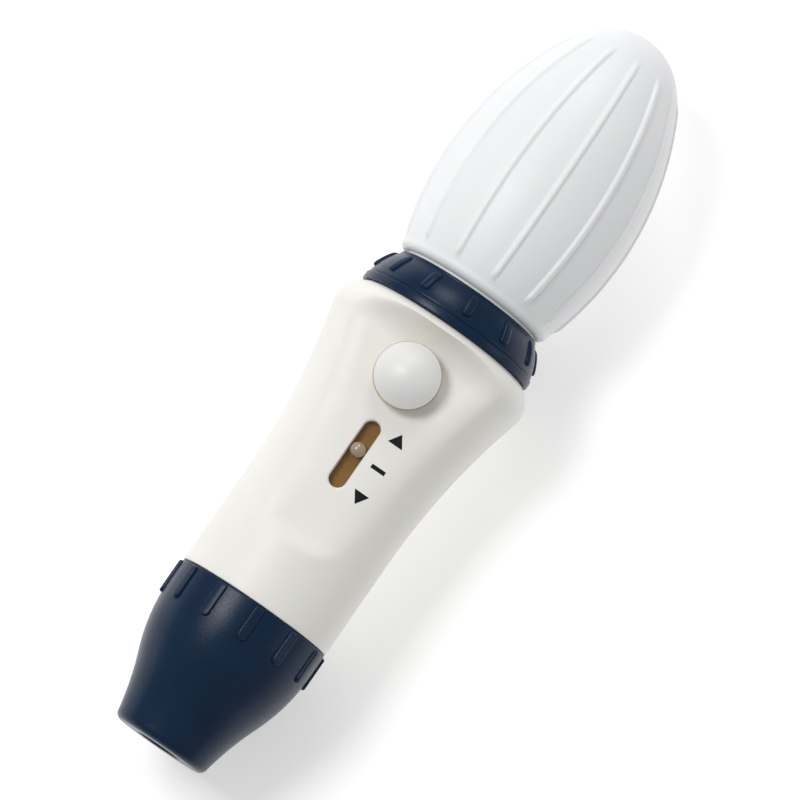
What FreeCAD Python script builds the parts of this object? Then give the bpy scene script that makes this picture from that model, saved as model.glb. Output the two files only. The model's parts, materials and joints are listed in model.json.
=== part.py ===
import FreeCAD, Part
import math
import os
import re
import Sketcher

# Hand-held pipette controller lying on its back.
# X is across, Y runs from the nose face up to the bulb, Z points out of the front.
# The origin is the centre of the nose face. Every size is in millimetres.

DRIVING = {
    # how far a cutter, or a piece that is joined, runs past the face that it meets
    "over": 1.0,
    # main shell
    "grip_r": 19.8,
    "wall": 2.2,
    "barrel_len": 77.1,
    "grip_len": 25.2,
    "flare_rise": 5.8,
    "shoulder_len": 7.9,
    "shoulder_r": 6.8,
    "collar_step": 2.6,
    "spigot_wall": 1.8,
    "low_spigot_len": 11.4,
    "top_spigot_len": 5.1,
    "floor_t": 2.5,
    "floor_sink": 0.3,
    "rim_step": 0.6,
    # front recess and its two slots
    "recess_depth": 2.3,
    "recess_start": 21.7,
    "recess_low_r": 9.0,
    "recess_end": 9.4,
    "recess_top_r": 7.5,
    "slot_w": 4.2,
    "slot_len": 17.9,
    "slot_drop": 21.3,
    # screwed joints
    "ring_gap": 0.2,
    "thread_pitch": 2.5,
    "thread_depth": 0.8,
    "thread_gap": 0.3,
    "thread_embed": 0.2,
    "thread_start": 1.2,
    "low_turns": 3.2,
    "top_turns": 1.2,
    "nose_turns": 0.8,
    "collar_turns": 0.7,
    # nose cone
    "nose_len": 38.6,
    "nose_wall": 2.15,
    "nose_tip_r": 12.4,
    "tip_round": 1.6,
    "waist_r": 16.55,
    "waist_rise": 16.0,
    "waist_arc": 75.0,
    "full_drop": 5.6,
    "nose_chamfer": 0.5,
    "mouth_r": 5.4,
    "mouth_wall": 2.3,
    "ledge_drop": 14.6,
    "ledge_w": 1.45,
    "ledge_h": 2.0,
    "cone_low_step": 0.25,
    "rib_w": 2.4,
    "rib_proud": 0.65,
    "rib_len": 8.6,
    "rib_count": 12,
    "rib_phase": 7.5,
    # silicone pipette adapter
    "socket_r": 3.75,
    "socket_len": 16.0,
    "adapter_gap": 0.3,
    "tube_wall": 2.25,
    "adapter_wall": 2.4,
    "adapter_flange": 2.2,
    "adapter_hole_r": 2.2,
    "adapter_step": 0.4,
    "adapter_foot": 6.4,
    "adapter_web": 0.6,
    "socket_lead": 1.45,
    "lead_len": 3.4,
    # inlet filter
    "filter_gap": 0.35,
    "case_low_h": 4.0,
    "case_top_h": 3.3,
    "case_wall": 1.6,
    "membrane_gap": 0.3,
    "membrane_t": 0.4,
    "nipple_r": 2.6,
    "nipple_len": 5.0,
    "nipple_bore_r": 1.2,
    "nipple_ring_drop": 2.0,
    "small_ring_r": 0.45,
    # valve block
    "boss_r": 6.0,
    "boss_len": 5.0,
    "boss_gap": 0.1,
    "flange_t": 4.0,
    "screw_r": 1.25,
    "screw_head_r": 2.1,
    "screw_head_t": 2.0,
    "screw_margin": 2.4,
    "screw_short": 1.6,
    "column_half": 5.5,
    "column_back": 4.8,
    "plate_half": 8.0,
    "plate_depth": 3.0,
    "lip_w": 1.05,
    "lip_h": 1.9,
    "lip_sink": 0.5,
    "lip_gap": 0.25,
    "spool_bore_r": 3.4,
    "bore_cover": 3.7,
    "channel_r": 1.5,
    "channel_drop": 4.8,
    "port_r": 0.9,
    "bulb_port_rise": 2.0,
    "screen_r": 1.6,
    "screen_t": 0.5,
    "screen_gap": 0.05,
    # control
    "knob_r": 8.0,
    "knob_side": 2.0,
    "knob_dome": 4.0,
    "knob_under": 1.1,
    "knob_taper": 1.8,
    "knob_drop": 14.9,
    "stem_r": 2.1,
    "stem_gap": 0.3,
    "stem_seat": 2.7,
    "travel": 3.0,
    "end_gap": 0.2,
    "pin_r": 1.2,
    "pin_gap": 0.05,
    "pin_head": 1.4,
    "pin_foot": 1.1,
    "pin_slot_side": 0.55,
    "pin_slot_end": 0.5,
    "slide_gap": 0.3,
    "carriage_t": 3.4,
    "carriage_low": 35.0,
    "carriage_high": 9.4,
    "strip_half": 3.25,
    "strip_t": 1.4,
    "strip_foot": 1.5,
    "strip_short": 10.5,
    "bead_r": 1.85,
    "bead_stem_r": 0.9,
    "bead_lift": 1.6,
    "bead_rise": 1.3,
    "bead_seat": 1.1,
    # spool, measured along the axis from the drive pin
    "spool_fit": 0.1,
    "spool_foot": 27.0,
    "spring_len": 11.0,
    "vent_drop": 2.0,
    "waist_foot": 18.5,
    "waist_head": 11.5,
    "land_head": 5.0,
    "eye_half": 2.0,
    "spool_head": 3.0,
    "spool_waist_r": 1.6,
    "spool_neck_r": 2.0,
    "ring_r": 0.5,
    "ring_inset": 0.92,
    "ring_side": 0.1,
    # springs
    "wire_r": 0.28,
    "coil_r": 2.6,
    "spring_pitch": 1.7,
    # seat plate and exhaust valve
    "plate_t": 3.0,
    "plate_fit": 0.2,
    "plate_ring_r": 0.6,
    "plate_ring_in": 0.5,
    "groove_half": 0.65,
    "groove_depth": 1.15,
    "gasket_t": 1.0,
    "shelf_w": 0.7,
    "check_x": -10.2,
    "check_hole_r": 2.2,
    "cage_r": 4.0,
    "cage_wall": 0.4,
    "cage_len": 3.5,
    "disc_r": 3.3,
    "disc_t": 0.8,
    "disc_gap": 0.1,
    "disc_lap": 1.0,
    "plug_t": 1.8,
    "plug_gap": 0.02,
    # collar
    "collar_len": 10.3,
    "collar_band": 2.1,
    "collar_arc": 16.0,
    "collar_wall": 3.7,
    "collar_lip": 1.1,
    "lip_t": 0.7,
    "collar_rib_w": 2.8,
    "collar_rib_proud": 0.75,
    "collar_rib_low": 1.0,
    "collar_rib_root": 1.5,
    "collar_rib_top": 1.6,
    "collar_rib_back": 0.7,
    "collar_bevel": 0.5,
    "collar_bevel_h": 0.3,
    "rim_h": 0.8,
    "washer_t": 0.6,
    "washer_gap": 0.1,
    # bulb
    "bulb_bulge": 6.3,
    "bulb_half": 46.5,
    "bulb_end_r": 16.0,
    "bulb_len": 73.0,
    "bulb_wall": 2.0,
    "bulb_gap": 0.6,
    "rim_round": 2.2,
    "flange_h": 2.0,
    "neck_ring_t": 1.4,
    "neck_ring_gap": 0.1,
    "bulb_rib_w": 2.0,
    "bulb_rib_proud": 0.6,
    "bulb_rib_foot": 5.5,
    "bulb_rib_head": 9.5,
    "bulb_rib_count": 13,
    "bulb_rib_phase": 9.0,
}

DERIVED = {
    # shell stations along the axis and the radii that go with them
    "barrel_y": "nose_len + ring_gap",
    "barrel_top": "barrel_y + barrel_len",
    "flare_low": "barrel_y + grip_len",
    "flare_y": "barrel_top - shoulder_len",
    "flare_r": "grip_r + flare_rise",
    "flare_len": "flare_y - flare_low",
    "flare_arc": "(flare_len^2 + flare_rise^2) / (2 * flare_rise)",
    "inner_r": "grip_r - wall",
    "nose_bore_r": "grip_r - nose_wall",
    "low_spigot_r": "nose_bore_r - thread_depth - thread_gap",
    "low_spigot_y": "barrel_y - low_spigot_len",
    "low_bore_r": "low_spigot_r - spigot_wall",
    "low_thread_y": "low_spigot_y + thread_start",
    "floor_y": "barrel_y - floor_sink",
    "floor_top": "floor_y + floor_t",
    "collar_r": "flare_r - collar_step",
    "collar_bore_r": "collar_r - collar_wall",
    "spigot_r": "collar_bore_r - thread_depth - thread_gap",
    "spigot_top": "barrel_top + top_spigot_len",
    "plate_seat_r": "spigot_r - spigot_wall",
    "shelf_r": "plate_seat_r - shelf_w",
    "shelf_y": "barrel_top - wall",
    "plate_y": "spigot_top - plate_t",
    "top_thread_y": "barrel_top + thread_start",
    # recess
    "flat_z": "grip_r - recess_depth",
    "flat_in": "flat_z - wall",
    "recess_y": "barrel_y + recess_start",
    "recess_top": "barrel_top - recess_end",
    "knob_y": "barrel_top - knob_drop",
    "slot_y": "knob_y - slot_drop",
    # front to back stack behind the recess
    "carriage_front": "flat_in - slide_gap",
    "carriage_back": "carriage_front - carriage_t",
    "block_front": "carriage_back - slide_gap",
    "spool_z": "block_front - spool_bore_r - bore_cover",
    "channel_z": "spool_z - spool_bore_r - channel_drop",
    "block_top": "plate_y - gasket_t",
    "bore_y": "knob_y - spool_foot - spring_len",
    "vent_y": "knob_y - waist_foot - vent_drop",
    "screw_circle": "(low_bore_r + boss_r) / 2",
    "boss_low": "floor_top - boss_len",
    # nose interior
    "ledge_y": "nose_len - ledge_drop",
    "ledge_r": "nose_bore_r - ledge_w",
    "cone_low_r": "nose_tip_r - nose_wall + cone_low_step",
    "full_y": "nose_len - full_drop",
    "full_rise": "grip_r - waist_r",
    "full_len": "full_y - waist_rise",
    "full_arc": "(full_len^2 + full_rise^2) / (2 * full_rise)",
    "flange_low": "ledge_y + ring_gap",
    "flange_top": "flange_low + adapter_flange",
    # filter
    "case_y": "flange_top + bulb_gap",
    "case_r": "low_bore_r - filter_gap",
    "membrane_y": "case_y + case_low_h - membrane_t / 2",
    "case_top_y": "case_y + case_low_h + membrane_t / 2",
    "case_end": "case_top_y + case_top_h",
    # bulb and collar
    "flange_y": "spigot_top + ring_gap",
    "washer_y": "flange_y + flange_h + ring_gap",
    "collar_ledge": "washer_y + washer_t",
    "collar_y": "barrel_top + ring_gap",
    "collar_top": "collar_y + collar_len",
    "lip_r": "collar_bore_r - collar_lip",
    "neck_r": "lip_r - adapter_gap",
    "neck_in": "neck_r - bulb_wall",
    "bulb_base": "collar_top + bulb_gap",
    "bulb_top": "bulb_base + bulb_len",
    "bulb_mid": "bulb_top - bulb_half",
    "bulb_r": "neck_r + bulb_bulge",
    "bulb_rib_low": "bulb_base + bulb_rib_foot",
    "bulb_rib_top": "bulb_top - bulb_rib_head",
    "rim_y": "bulb_base + rim_round",
}

doc = FreeCAD.newDocument("pipette_controller")
sheet = doc.addObject("Spreadsheet::Sheet", "dims")
names = list(DRIVING) + list(DERIVED)
for row, (name, size) in enumerate(DRIVING.items(), 1):
    sheet.set("A%d" % row, name)
    sheet.set("B%d" % row, str(size))
    sheet.setAlias("B%d" % row, name)
for row, (name, formula) in enumerate(DERIVED.items(), 1):
    sheet.set("D%d" % row, name)
    sheet.set("E%d" % row, "=" + formula)
    sheet.setAlias("E%d" % row, name)
doc.recompute()


def bound(text):
    # writes each sheet name in a formula the way another object has to call it
    return re.sub(r"[a-z_]\w*", lambda word: ("dims." if word.group() in names else "") + word.group(), text)


def number(text):
    return float(sheet.evalExpression(bound(text)))


def drive(item, **formulas):
    for path, formula in formulas.items():
        item.setExpression(path.replace("__", "."), bound(formula))


def place(item, x="0", y="0", z="0", rotation=None):
    if rotation:
        item.Placement = FreeCAD.Placement(FreeCAD.Vector(), rotation)
    drive(item, Placement__Base__x=x, Placement__Base__y=y, Placement__Base__z=z)
    return item


ACROSS = FreeCAD.Rotation(FreeCAD.Vector(0, 1, 0), 90)
ALONG = FreeCAD.Rotation(FreeCAD.Vector(1, 0, 0), -90)


def box(name, x, y, z, length, width, height):
    block = doc.addObject("Part::Box", name)
    drive(block, Length=length, Width=width, Height=height)
    return place(block, x, y, z)


def rod(name, x, y, z, radius, length, rotation=None):
    cylinder = doc.addObject("Part::Cylinder", name)
    drive(cylinder, Radius=radius, Height=length)
    return place(cylinder, x, y, z, rotation)


def o_ring(name, y, large, small, z="0"):
    ring = doc.addObject("Part::Torus", name)
    drive(ring, Radius1=large, Radius2=small)
    return place(ring, "0", y, z, ALONG)


def joined(name, pieces):
    result = doc.addObject("Part::MultiFuse", name)
    result.Shapes = pieces
    return result


def shared(name, first, second):
    result = doc.addObject("Part::MultiCommon", name)
    result.Shapes = [first, second]
    return result


def less(name, base, tools):
    result = doc.addObject("Part::Cut", name)
    result.Base = base
    result.Tool = tools[0] if len(tools) == 1 else joined(name + "_cutters", tools)
    return result


def stadium(name, y, width, length, z, height):
    # a round-ended slot lying along Y
    reach = "(%s) / 2 - (%s) / 2" % (length, width)
    middle = box(name + "_middle", "-(%s) / 2" % width, "%s - (%s)" % (y, reach), z, width,
                 "2 * (%s)" % reach, height)
    low = rod(name + "_low", "0", "%s - (%s)" % (y, reach), z, "(%s) / 2" % width, height)
    high = rod(name + "_high", "0", "%s + (%s)" % (y, reach), z, "(%s) / 2" % width, height)
    return joined(name, [middle, low, high])


def origin_part(body, role):
    return next(feature for feature in body.Origin.OriginFeatures if feature.Role == role)


def arc_between(start, end, radius):
    # a positive radius turns left on the way from start to end
    first, last = (start, end) if radius > 0 else (end, start)
    chord = last - first
    left = FreeCAD.Vector(-chord.y, chord.x, 0).normalize()
    rise = math.sqrt(max(radius ** 2 - (chord.Length / 2) ** 2, 0))
    centre = (first + last) / 2 + left * rise
    from_angle = math.atan2(first.y - centre.y, first.x - centre.x)
    to_angle = math.atan2(last.y - centre.y, last.x - centre.x)
    if to_angle < from_angle:
        to_angle += 2 * math.pi
    circle = Part.Circle(centre, FreeCAD.Vector(0, 0, 1), abs(radius))
    return Part.ArcOfCircle(circle, from_angle, to_angle)


def outline(body, name, plane, corners):
    # a closed outline; a corner's third value is the radius of the arc that reaches it
    sketch = body.newObject("Sketcher::SketchObject", name)
    sketch.AttachmentSupport = (origin_part(body, plane), "")
    sketch.MapMode = "FlatFace"
    points = [FreeCAD.Vector(number(corner[0]), number(corner[1]), 0) for corner in corners]
    edges = []
    for index, corner in enumerate(corners):
        start, end = points[index - 1], points[index]
        if len(corner) == 2:
            edges.append((sketch.addGeometry(Part.LineSegment(start, end), False), 1, 2))
            continue
        radius = number(corner[2])
        edge = sketch.addGeometry(arc_between(start, end, radius), False)
        edges.append((edge, 1, 2) if radius > 0 else (edge, 2, 1))
        rule = sketch.addConstraint(Sketcher.Constraint("Radius", edge, abs(radius)))
        sketch.setExpression("Constraints[%d]" % rule, bound(corner[2].lstrip("-")))
    for index, corner in enumerate(corners):
        edge, _, tail = edges[index]
        following, head, _ = edges[(index + 1) % len(edges)]
        sketch.addConstraint(Sketcher.Constraint("Coincident", edge, tail, following, head))
        for kind, text, axis, size in (("DistanceX", corner[0], -2, points[index].x),
                                       ("DistanceY", corner[1], -1, points[index].y)):
            if text == "0":
                sketch.addConstraint(Sketcher.Constraint("PointOnObject", edge, tail, axis))
                continue
            rule = sketch.addConstraint(Sketcher.Constraint(kind, -1, 1, edge, tail, size))
            sketch.setExpression("Constraints[%d]" % rule, bound(text))
    return sketch


def turned(name, corners, plane="XY_Plane"):
    # a solid of revolution about the sketch's vertical axis
    body = doc.addObject("PartDesign::Body", name)
    sketch = outline(body, name + "_outline", plane, corners)
    turn = body.newObject("PartDesign::Revolution", name + "_turn")
    turn.Profile = sketch
    turn.ReferenceAxis = (sketch, ["V_Axis"])
    turn.Angle = 360
    return body


def prism(name, corners, width):
    # a side outline in the YZ plane, widened equally to both sides of X = 0
    body = doc.addObject("PartDesign::Body", name)
    sketch = outline(body, name + "_outline", "YZ_Plane", corners)
    pad = body.newObject("PartDesign::Pad", name + "_pad")
    pad.Profile = sketch
    pad.Midplane = True
    drive(pad, Length=width)
    return body


def helix_sweep(name, section, y, z, radius, pitch, length):
    path = doc.addObject("Part::Helix", name + "_path")
    drive(path, Radius=radius, Pitch=pitch, Height=length)
    path.SegmentLength = 1
    place(path, "0", y, z, ALONG)
    sweep = doc.addObject("Part::Sweep", name)
    sweep.Sections = [section]
    sweep.Spine = (path, [])
    sweep.Solid = True
    sweep.Frenet = True
    return sweep


def thread(name, y, radius, length, inward=False):
    # a three-sided ridge whose root lies a little inside the wall that carries it
    section = doc.addObject("Part::RegularPolygon", name + "_section")
    section.Polygon = 3
    size = "(thread_depth + thread_embed) / 1.5"
    sign = "-" if inward else "+"
    drive(section, Circumradius=size)
    turn = FreeCAD.Rotation(FreeCAD.Vector(0, 0, 1), 180 if inward else 0)
    middle = "%s %s ((%s) / 2 - thread_embed)" % (radius, sign, size)
    place(section, middle, y, "0", turn)
    return helix_sweep(name, section, y, "0", middle, "thread_pitch", length)


def spring(name, y, length):
    section = doc.addObject("Part::Circle", name + "_section")
    drive(section, Radius="wire_r")
    place(section, "coil_r", y, "spool_z")
    return helix_sweep(name, section, y, "spool_z", "coil_r", "spring_pitch", length)


def scoop(name, depth):
    # the recess in side view, moved inward by a wall when it limits the cavity
    low_r = "recess_low_r + " + depth
    top_r = "recess_top_r + " + depth
    flat = "flat_z - (%s)" % depth
    rim = "flat_z + recess_low_r"
    top_rim = "flat_z + recess_top_r"
    return prism(name, [
        ("recess_y - (%s)" % low_r, rim),
        ("recess_y", flat, low_r),
        ("recess_top", flat),
        ("recess_top + " + top_r, top_rim, top_r),
        ("recess_top + " + top_r, "flare_r * 1.5"),
        ("recess_y - (%s)" % low_r, "flare_r * 1.5"),
    ], "flare_r * 3")


def make_housing():
    shell = turned("housing_shell", [
        ("0", "low_spigot_y"),
        ("low_spigot_r", "low_spigot_y"),
        ("low_spigot_r", "barrel_y"),
        ("grip_r", "barrel_y"),
        ("grip_r", "flare_low"),
        ("flare_r", "flare_y", "-flare_arc"),
        ("collar_r - rim_step", "barrel_top", "shoulder_r"),
        ("spigot_r", "barrel_top"),
        ("spigot_r", "spigot_top"),
        ("0", "spigot_top"),
    ])
    low_thread = thread("low_thread", "low_thread_y", "low_spigot_r", "thread_pitch * low_turns")
    top_thread = thread("top_thread", "top_thread_y", "spigot_r", "thread_pitch * top_turns")
    cavity_round = turned("cavity_round", [
        ("0", "low_spigot_y - over"),
        ("low_bore_r", "low_spigot_y - over"),
        ("low_bore_r", "floor_y"),
        ("boss_r + boss_gap", "floor_y"),
        ("boss_r + boss_gap", "floor_top"),
        ("inner_r", "floor_top"),
        ("inner_r", "flare_low"),
        ("flare_r - wall", "flare_y - wall", "-flare_arc"),
        ("collar_r - 0.9 * wall", "shelf_y"),
        ("shelf_r", "shelf_y"),
        ("shelf_r", "plate_y"),
        ("plate_seat_r", "plate_y"),
        ("plate_seat_r", "spigot_top + over"),
        ("0", "spigot_top + over"),
    ])
    cavity = less("cavity", cavity_round, [scoop("cavity_limit", "wall")])
    window = stadium("window", "slot_y", "slot_w", "slot_len", "flat_in - over", "wall + 3 * over")
    stem_w = "2 * (stem_r + stem_gap)"
    stem_slot = stadium("stem_slot", "knob_y", stem_w, "2 * (travel + end_gap) + " + stem_w,
                        "flat_in - over", "wall + 3 * over")
    holes = [screw_hole("floor_hole", turn, "floor_y - over", "floor_t + 2 * over") for turn in (0, 1, 2)]
    solid = joined("housing_solid", [shell, low_thread, top_thread])
    return less("housing", solid, [scoop("recess", "0"), cavity, window, stem_slot] + holes)


def screw_hole(name, turn, y, length):
    angle = "%d * 120 + 30" % turn
    return rod("%s_%d" % (name, turn + 1), "screw_circle * cos(%s)" % angle, y,
               "screw_circle * sin(%s)" % angle, "screw_r", length, ALONG)


def make_valve_block():
    body_y = "floor_top + flange_t - over"
    body_len = "block_top - (%s)" % body_y
    boss = rod("boss", "0", "boss_low", "0", "boss_r", "boss_len + over", ALONG)
    foot = rod("foot", "0", "floor_top", "0", "screw_circle + screw_margin", "flange_t", ALONG)
    column_low = "channel_z - channel_r - column_back / 2"
    column = box("column", "-column_half", body_y, column_low, "2 * column_half", body_len,
                 "block_front - (%s)" % column_low)
    plate = box("guide_plate", "-plate_half", body_y, "block_front - plate_depth", "2 * plate_half",
                body_len, "plate_depth")
    lips = []
    lip_len = "shelf_y - 2 * over - (%s)" % body_y
    for name, x in (("lip_left", "-plate_half"), ("lip_right", "plate_half - lip_w")):
        lips.append(box(name, x, body_y, "block_front - lip_sink", "lip_w", lip_len, "lip_h + lip_sink"))
    socket = rod("nipple_socket", "0", "boss_low - over", "0", "nipple_r + 2 * small_ring_r + pin_gap",
                 "boss_len", ALONG)
    riser = rod("riser", "0", "floor_top - 2 * over", "0", "channel_r", "flange_t + over", ALONG)
    link_y = "%s - 2 * channel_r" % body_y
    link = box("link", "-channel_r", link_y, "min(channel_z; 0) - channel_r", "2 * channel_r",
               "2 * channel_r", "abs(channel_z) + 2 * channel_r")
    inlet_y = "knob_y - (waist_foot + waist_head) / 2"
    inlet_len = "%s + over - (%s)" % (inlet_y, link_y)
    inlet = rod("inlet_channel", "0", link_y, "channel_z", "channel_r", inlet_len, ALONG)
    outlet_y = "knob_y - waist_head + bulb_port_rise"
    outlet = rod("bulb_channel", "0", outlet_y + " - channel_r", "channel_z", "channel_r",
                 "block_top - (%s) + 2 * channel_r" % outlet_y, ALONG)
    port_len = "spool_z - channel_z - spool_bore_r + over"
    ports = [rod("inlet_port", "0", inlet_y, "channel_z", "port_r", port_len),
             rod("bulb_port", "0", outlet_y, "channel_z", "port_r", port_len)]
    bore = rod("spool_bore", "0", "bore_y", "spool_z", "spool_bore_r", "block_top - bore_y + over", ALONG)
    vent = rod("vent_port", "0", "vent_y", "spool_z", "port_r", "column_half + over", ACROSS)
    screen_seat = rod("screen_seat", "column_half - screen_t", "vent_y", "spool_z", "screen_r",
                      "screen_t + over", ACROSS)
    slot_half = "(pin_r + pin_slot_side)"
    slot_reach = "(travel + pin_r + pin_slot_end)"
    pin_slot = box("pin_slot", "-" + slot_half, "knob_y - " + slot_reach, "spool_z", "2 * " + slot_half,
                   "2 * " + slot_reach, "block_front - spool_z + over")
    threads = [screw_hole("foot_hole", turn, "floor_top - over", "flange_t") for turn in (0, 1, 2)]
    solid = joined("block_solid", [boss, foot, column, plate] + lips)
    return less("valve_block", solid, [socket, riser, link, inlet, outlet, bore, vent, screen_seat,
                                       pin_slot] + ports + threads)


def make_block_screws():
    screws = []
    for turn in (0, 1, 2):
        shank = screw_hole("screw_shank", turn, "floor_y", "floor_t + flange_t - screw_short")
        angle = "%d * 120 + 30" % turn
        head = rod("screw_head_%d" % (turn + 1), "screw_circle * cos(%s)" % angle, "floor_y - screw_head_t",
                   "screw_circle * sin(%s)" % angle, "screw_head_r", "screw_head_t", ALONG)
        drive_hole = rod("screw_drive_%d" % (turn + 1), "screw_circle * cos(%s)" % angle,
                         "floor_y - screw_head_t", "screw_circle * sin(%s)" % angle, "screw_head_r / 2",
                         "screw_head_t / 2", ALONG)
        blank = joined("screw_blank_%d" % (turn + 1), [head, shank])
        screws.append(less("block_screw_%d" % (turn + 1), blank, [drive_hole]))
    return screws


def make_seat():
    rim = "plate_seat_r - plate_fit"
    groove_y = "spigot_top - plate_t / 2"
    groove_r = rim + " - groove_depth"
    disc = turned("plate_disc", [
        ("0", "plate_y"),
        (rim, "plate_y"),
        (rim, groove_y + " - groove_half"),
        (groove_r, groove_y + " - groove_half"),
        (groove_r, groove_y + " + groove_half"),
        (rim, groove_y + " + groove_half"),
        (rim, "spigot_top"),
        ("0", "spigot_top"),
    ])
    through = "plate_t + 2 * over"
    channel = rod("plate_channel", "0", "plate_y - over", "channel_z", "channel_r", through, ALONG)
    check_hole = rod("check_hole", "check_x", "plate_y - over", "0", "check_hole_r", through, ALONG)
    plate = less("seat_plate", disc, [channel, check_hole])
    seal = o_ring("plate_o_ring", groove_y, rim + " - plate_ring_in", "plate_ring_r")
    back_z = "channel_z - channel_r - over"
    blank = box("gasket_blank", "-plate_half", "block_top", back_z, "2 * plate_half", "gasket_t",
                "block_front - (%s)" % back_z)
    gasket_channel = rod("gasket_channel", "0", "block_top - over", "channel_z", "channel_r",
                         "gasket_t + 2 * over", ALONG)
    relief = rod("gasket_relief", "check_x", "block_top - over", "0", "cage_r + slide_gap",
                 "gasket_t + 2 * over", ALONG)
    gasket = less("port_gasket", blank, [gasket_channel, relief])
    return [plate, seal, gasket]


def make_exhaust_valve():
    cage_y = "plate_y - cage_len"
    cup = rod("cage_blank", "check_x", cage_y, "0", "cage_r", "cage_len", ALONG)
    hollow = rod("cage_hollow", "check_x", cage_y + " + cage_wall", "0", "cage_r - cage_wall", "cage_len",
                 ALONG)
    drain = rod("cage_drain", "check_x", cage_y + " - over", "0", "disc_r - disc_lap", "cage_len", ALONG)
    cage = less("check_cage", cup, [hollow, drain])
    disc = rod("check_disc", "check_x", "plate_y - disc_gap - disc_t", "0", "disc_r", "disc_t", ALONG)
    plug = rod("bore_plug", "0", "block_top - plug_t", "spool_z", "spool_bore_r - plug_gap", "plug_t", ALONG)
    screen = rod("vent_screen", "column_half - screen_t", "vent_y", "spool_z", "screen_r - screen_gap",
                 "screen_t - 2 * screen_gap", ACROSS)
    return [cage, disc, plug, screen]


def make_filter():
    lower = turned("filter_case_lower", [
        ("nipple_r", "case_y"),
        ("case_r", "case_y"),
        ("case_r", "case_y + case_low_h"),
        ("case_r - case_wall + membrane_gap", "case_y + case_low_h"),
        ("case_r - case_wall + membrane_gap", "membrane_y"),
        ("case_r - 2 * case_wall", "membrane_y"),
        ("case_r - 2 * case_wall", "case_y + case_wall"),
        ("nipple_r", "case_y + case_wall"),
    ])
    membrane = rod("filter_disc", "0", "membrane_y", "0", "case_r - case_wall", "membrane_t", ALONG)
    upper = turned("filter_case_upper", [
        ("nipple_bore_r", "case_top_y + case_wall"),
        ("case_r - 2 * case_wall", "case_top_y + case_wall"),
        ("case_r - 2 * case_wall", "case_top_y"),
        ("case_r", "case_top_y"),
        ("case_r", "case_end"),
        ("nipple_r", "case_end"),
        ("nipple_r", "case_end + nipple_len"),
        ("nipple_bore_r", "case_end + nipple_len"),
    ])
    seal_y = "case_end + nipple_len - nipple_ring_drop"
    seal = o_ring("filter_o_ring", seal_y, "nipple_r + small_ring_r", "small_ring_r")
    return [lower, membrane, upper, seal]


def make_control():
    base = "flat_z + knob_under"
    side = base + " + knob_taper"
    stem_low = "carriage_front - stem_seat"
    dome = "(knob_r^2 + knob_dome^2) / (2 * knob_dome)"
    knob = turned("control_knob", [
        ("pin_r + pin_gap", stem_low),
        ("stem_r", stem_low),
        ("stem_r", base),
        ("knob_r - knob_taper", base),
        ("knob_r", side),
        ("knob_r", side + " + knob_side"),
        ("0", side + " + knob_side + knob_dome", dome),
        ("0", base + " + pin_head"),
        ("pin_r + pin_gap", base + " + pin_head"),
    ], "XZ_Plane")
    place(knob, "0", "knob_y", "0")
    pin_low = "spool_z - spool_bore_r + pin_foot"
    pin = rod("drive_pin", "0", "knob_y", pin_low, "pin_r", "%s + pin_head - (%s)" % (base, pin_low))
    plank_half = "(plate_half - lip_w - lip_gap)"
    plank_y = "knob_y - carriage_low"
    plank = box("carriage_blank", "-" + plank_half, plank_y, "carriage_back", "2 * " + plank_half,
                "carriage_low + carriage_high", "carriage_t")
    strip_y = plank_y + " + strip_foot"
    strip_z = "carriage_front - strip_t"
    strip_len = "carriage_low - strip_short"
    seat = box("strip_seat", "-strip_half", strip_y, strip_z, "2 * strip_half", strip_len, "strip_t + over")
    stem_hole = rod("stem_hole", "0", "knob_y", stem_low, "stem_r", "carriage_t")
    pin_hole = rod("pin_hole", "0", "knob_y", "carriage_back - over", "pin_r + pin_gap", "carriage_t")
    carriage = less("slide_carriage", plank, [seat, stem_hole, pin_hole])
    blank = box("strip_blank", "-strip_half", strip_y, strip_z, "2 * strip_half", strip_len, "strip_t")
    bead_y = "slot_y + bead_rise"
    bead_low = "carriage_front - bead_seat"
    bead_hole = rod("bead_hole", "0", bead_y, bead_low, "bead_stem_r", "bead_seat + over")
    strip = less("pointer_slide", blank, [bead_hole])
    centre = "carriage_front + bead_lift"
    bead = turned("pointer_bead", [
        ("0", bead_low),
        ("bead_stem_r", bead_low),
        ("bead_stem_r", centre + " - sqrt(bead_r^2 - bead_stem_r^2)"),
        ("0", centre + " + bead_r", "bead_r"),
    ], "XZ_Plane")
    place(bead, "0", bead_y, "0")
    return [knob, pin, carriage, strip, bead]


def make_spool():
    land = "spool_bore_r - spool_fit"
    gland = land + " - ring_inset"
    corners = [("0", "knob_y - spool_foot")]
    rings = []
    bands = (("spool_foot", "waist_foot", "spool_waist_r"), ("waist_head", "land_head", "spool_neck_r"))
    for foot, head, next_r in bands:
        corners.append((land, "knob_y - " + foot))
        for share in (1, 3):
            middle = "knob_y - %s + (%s - %s) * %d / 4" % (foot, foot, head, share)
            corners.append((land, middle + " - ring_r - ring_side"))
            corners.append((gland, middle + " - ring_r - ring_side"))
            corners.append((gland, middle + " + ring_r + ring_side"))
            corners.append((land, middle + " + ring_r + ring_side"))
            rings.append(o_ring("spool_o_ring_%d" % (len(rings) + 1), middle, gland + " + ring_r", "ring_r",
                                "spool_z"))
        corners.append((land, "knob_y - " + head))
        corners.append((next_r, "knob_y - " + head))
        if foot == "spool_foot":
            corners.append((next_r, "knob_y - waist_head"))
    corners.append(("spool_neck_r", "knob_y + eye_half"))
    corners.append((land, "knob_y + eye_half"))
    corners.append((land, "knob_y + spool_head"))
    corners.append(("0", "knob_y + spool_head"))
    blank = turned("spool_blank", corners)
    place(blank, "0", "0", "spool_z")
    eye = rod("spool_eye", "0", "knob_y", "spool_z - spool_bore_r", "pin_r + pin_gap", "2 * spool_bore_r")
    return [less("spool", blank, [eye])] + rings


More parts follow.
